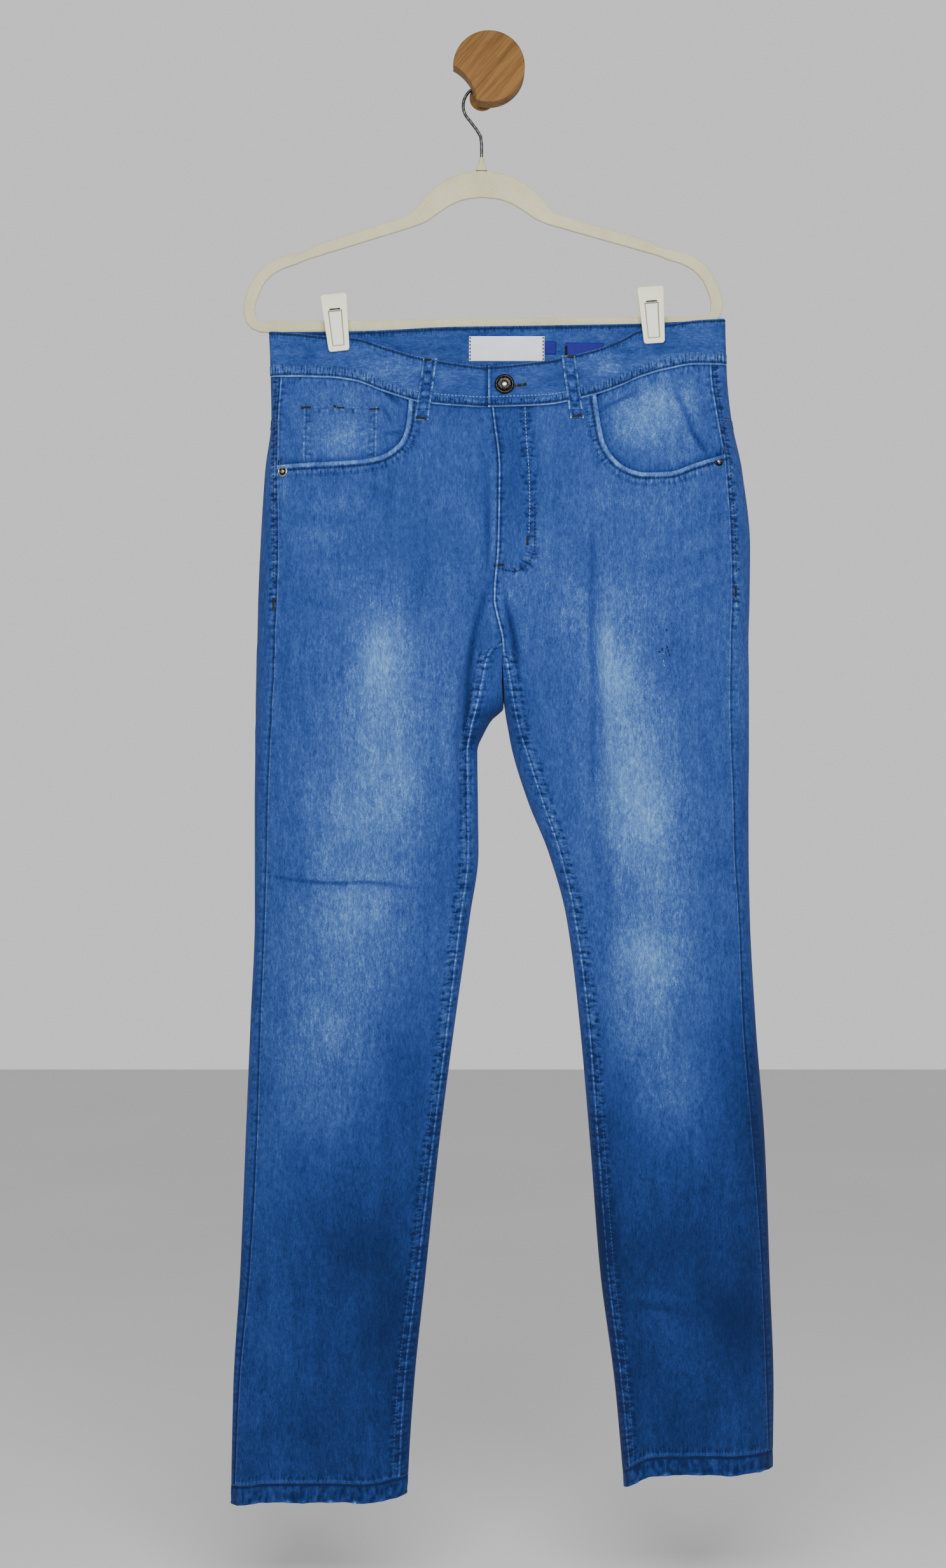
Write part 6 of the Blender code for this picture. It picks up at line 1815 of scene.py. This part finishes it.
point, normal = on_leg(right_leg, *BUTTON_AT)
finishes = ((20, DARK_METAL), (BUTTON_BOSS, BRIGHT_METAL))
turned_cap("waist_button", BUTTON_PROFILE, 64, standing_on(point, normal, 0.6), finishes, "button")
for leg in LEGS:
    x, z, radius, lift = RIVETS[leg.name]
    point, normal = on_leg(leg, x, z)
    profile = [(share * radius, height) for share, height in RIVET_SHARES]
    # The left rivet's ring takes the bright metal as a painted reflection; the right one's is dark.
    ring = BRIGHT_METAL if leg is left_leg else DARK_METAL
    finishes = ((20, ring), (0.72 * radius, DARK_METAL), (0.41 * radius, BRIGHT_METAL))
    place = standing_on(point, normal, lift)
    turned_cap(f"pocket_rivet_{leg.name}", profile, 40, place, finishes, f"rivet_{leg.name}")

# ---------------------------------------------------------------- clips

HANGER_Y, HANGER_TOP, HANGER_TILT, BAR_DROP = -7.5, (-0.8, -70.6), 0.66, 145.0
CLIPS = (("left", -137.8, -6.0, 28.5, -25.5), ("right", 159.2, -4.2, 32.0, -21.5))
CLIP_WIDTH_TOP, CLIP_WIDTH_LOW, CLIP_CORNER = 25.0, 19.5, 3.0
FRONT_JAW_Y, FRONT_JAW_THICK = PINCHED_FRONT - 0.6, 3.4
BACK_JAW_Y, BACK_JAW_THICK = -4.3, 2.6
BACK_PAD_Y = PINCHED_BACK + 0.4
LUG_HALF, LUG_HEIGHT, LUG_CLEAR, BAR_HALF = 8.0, 6.0, 1.2, 5.5
WINDOW_ABOVE_LOW, WINDOW_HEIGHT, WINDOW_HALF, WINDOW_DEPTH = 5.0, 33.5, 7.0, 1.9


def on_hanger(out, drop):
    tilt = radians(HANGER_TILT)
    return HANGER_TOP[0] + out * cos(tilt) + drop * sin(tilt), HANGER_TOP[1] + out * sin(tilt) - drop * cos(tilt)


def block(xs, ys, zs):
    """A box between these pairs, in millimetres."""
    start_from_nothing()
    bpy.ops.mesh.primitive_cube_add(size=1, location=(0, 0, 0))
    made = bpy.context.object
    made.data.transform(
        Matrix.Translation([(p[0] + p[1]) / 2 * MM for p in (xs, ys, zs)])
        @ Matrix.Diagonal([(p[1] - p[0]) * MM for p in (xs, ys, zs)]).to_4x4()
    )
    return made


def softened(made, width, segments, angle=35):
    """Rounds the piece's edges and applies it."""
    start_from_nothing()
    bpy.context.view_layer.objects.active = made
    made.select_set(True)
    bevel = made.modifiers.new("edges", "BEVEL")
    bevel.width, bevel.segments, bevel.limit_method, bevel.angle_limit = width * MM, segments, "ANGLE", radians(angle)
    bevel.harden_normals = False
    bpy.ops.object.modifier_apply(modifier=bevel.name)


def tapered(made, low, top):
    """Draws the plate in towards its lower end."""
    for vert in made.data.vertices:
        share = (vert.co.z / MM - low) / (top - low)
        vert.co.x *= mix(CLIP_WIDTH_LOW, CLIP_WIDTH_TOP, share) / CLIP_WIDTH_TOP


def clip_jaw(clip, face):
    name, out, lean, top, low = clip
    front = face == "front"
    inner_y = FRONT_JAW_Y if front else BACK_JAW_Y
    outer_y = inner_y - FRONT_JAW_THICK if front else inner_y + BACK_JAW_THICK
    ys = (min(inner_y, outer_y), max(inner_y, outer_y))
    plate = block((-CLIP_WIDTH_TOP / 2, CLIP_WIDTH_TOP / 2), ys, (low, top))
    plate.name = plate.data.name = f"hanger_clip_{name}_{face}"
    bpy.ops.object.mode_set(mode="EDIT")
    bpy.ops.mesh.select_mode(type="EDGE")
    mesh = bmesh.from_edit_mesh(plate.data)
    for edge in mesh.edges:
        a, b = (v.co for v in edge.verts)
        edge.select = abs(a.x - b.x) < 1e-6 and abs(a.z - b.z) < 1e-6
    bmesh.update_edit_mesh(plate.data)
    bpy.ops.mesh.bevel(offset=CLIP_CORNER * MM, segments=8)
    if front:
        # The sunk window: its frame is cut into the plate's face, then the field inside is pressed in.
        window = (low + WINDOW_ABOVE_LOW, low + WINDOW_ABOVE_LOW + WINDOW_HEIGHT)
        for co, no in (
            ((0, 0, window[0] * MM), (0, 0, 1)),
            ((0, 0, window[1] * MM), (0, 0, 1)),
            ((-WINDOW_HALF * MM, 0, 0), (1, 0, 0)),
            ((WINDOW_HALF * MM, 0, 0), (1, 0, 0)),
        ):
            bpy.ops.mesh.select_all(action="SELECT")
            bpy.ops.mesh.bisect(plane_co=co, plane_no=no)
        bpy.ops.mesh.select_mode(type="FACE")
        pick_faces(
            lambda c, n: n.y < -0.9 and abs(c.x) < WINDOW_HALF * MM and window[0] * MM < c.z < window[1] * MM
        )
        for finish in (CLIP, CLIP_SHADE, CLIP_FIELD):
            plate.data.materials.append(finish)
        plate.active_material_index = 1
        bpy.ops.object.material_slot_assign()
        bpy.ops.mesh.inset(thickness=0.9 * MM, depth=-WINDOW_DEPTH * MM)
        plate.active_material_index = 2
        bpy.ops.object.material_slot_assign()
        bpy.ops.mesh.inset(thickness=0.6 * MM, depth=0.0)
    bpy.ops.mesh.select_all(action="SELECT")
    bpy.ops.mesh.normals_make_consistent(inside=False)
    bpy.ops.object.mode_set(mode="OBJECT")
    softened(plate, 0.75 if front else 0.6, 3)
    tapered(plate, low, top)
    parts = [plate]
    over_bar = BAR_HALF + LUG_CLEAR
    lug_z = (over_bar, over_bar + LUG_HEIGHT)
    if front:
        parts.append(block((-LUG_HALF, LUG_HALF), (inner_y - 1, HANGER_Y - SEAM), lug_z))
        # The slot above the window, with the end of the spring in it.
        z = low + WINDOW_ABOVE_LOW + WINDOW_HEIGHT + 0.2
        parts.append(block((-5.2, 5.2), (outer_y - 0.18, outer_y + 0.4), (z, z + 1.5)))
    else:
        parts.append(block((-LUG_HALF, LUG_HALF), (HANGER_Y + SEAM, inner_y + 1), lug_z))
        parts.append(block((-LUG_HALF, LUG_HALF), (BACK_PAD_Y, inner_y + 1), (low + 1.5, -over_bar - 1)))
        for x in (-6.5, 0.0, 6.5):
            parts.append(block((x - 0.9, x + 0.9), (outer_y - 0.4, outer_y + 0.5), (low + 6, top - 6)))
    for part in parts[1:]:
        softened(part, 0.3, 2)
    for part in parts:
        if not part.data.materials:
            part.data.materials.append(CLIP)
    if front:
        parts[2].data.materials[0] = DARK_METAL
    start_from_nothing()
    for part in parts:
        part.select_set(True)
    bpy.context.view_layer.objects.active = plate
    bpy.ops.object.join()
    x, z = on_hanger(out, BAR_DROP)
    plate.data.transform(Matrix.Translation((x * MM, 0, z * MM)) @ Matrix.Rotation(radians(lean), 4, "Y"))
    plate.data.shade_smooth()
    plate.data.set_sharp_from_angle(angle=radians(40))
    return settle(plate, f"clip_{name}_{face}")


for clip in CLIPS:
    for face in ("front", "back"):
        clip_jaw(clip, face)

# ---------------------------------------------------------------- what stays as it is, in its own finish

KEPT = (
    ("hanger_frame", FLOCK), ("hanger_collar", FLOCK), ("hanger_hook", WIRE), ("wall_disc", WOOD), ("wall_peg", WOOD),
)
for name, finish in KEPT:
    data = bpy.data.objects[name].data
    data.materials.clear()
    data.materials.append(finish)

# ---------------------------------------------------------------- camera, floor and light

FLOOR_Z = -1.43
floor_finish, tree, shader, where = finish_of("floor_paint", 0.8, specular=0.2)
shade = grain_noise(tree, where, (2.0, 2.0, 2.0), 3.0)
stops = ((0.3, (0.87, 0.87, 0.87)), (0.7, (0.91, 0.91, 0.91)))
tree.links.new(colours(tree, shade, stops), shader.inputs["Base Color"])
start_from_nothing()
bpy.ops.mesh.primitive_plane_add(size=12, location=(0, -2.0, FLOOR_Z))
floor = bpy.context.object
floor.name = "floor"
floor.data.materials.append(floor_finish)

world = bpy.data.worlds.new("studio")
bpy.context.scene.world = world
world.use_nodes = True
# The room is white: bright behind the jeans, where its wall would be, and dimmer on the side that they face.
tree = world.node_tree
towards = add(tree, "ShaderNodeTexCoord").outputs["Generated"]
depth_wise = add(tree, "ShaderNodeSeparateXYZ", {"Vector": towards}).outputs["Y"]
span = {"Value": depth_wise, "From Min": -0.2, "From Max": 0.6, "To Min": 0.3, "To Max": 0.8}
backdrop = tree.nodes["Background"]
backdrop.inputs["Color"].default_value = (1.0, 1.0, 1.0, 1)
tree.links.new(add(tree, "ShaderNodeMapRange", span).outputs[0], backdrop.inputs["Strength"])


def soft_light(name, at, aim, size, power):
    data = bpy.data.lights.new(name, "AREA")
    data.shape, data.size, data.size_y, data.energy = "RECTANGLE", size[0], size[1], power
    lamp = bpy.data.objects.new(name, data)
    lamp.location = at
    lamp.rotation_euler = (Vector(aim) - Vector(at)).to_track_quat("-Z", "Y").to_euler()
    bpy.context.scene.collection.objects.link(lamp)


soft_light("key", (0.05, -1.4, -0.08), (0.02, 0, -0.72), (1.3, 0.5), 27)

camera_data = bpy.data.cameras.new("camera")
camera_data.sensor_width = 36
camera_data.lens = 51.3
camera_data.clip_start, camera_data.clip_end = 0.05, 30
camera = bpy.data.objects.new("camera", camera_data)
camera.location = [c * MM for c in CAMERA_AT]
camera.rotation_euler = (pi / 2, 0, 0)
bpy.context.scene.collection.objects.link(camera)
bpy.context.scene.camera = camera
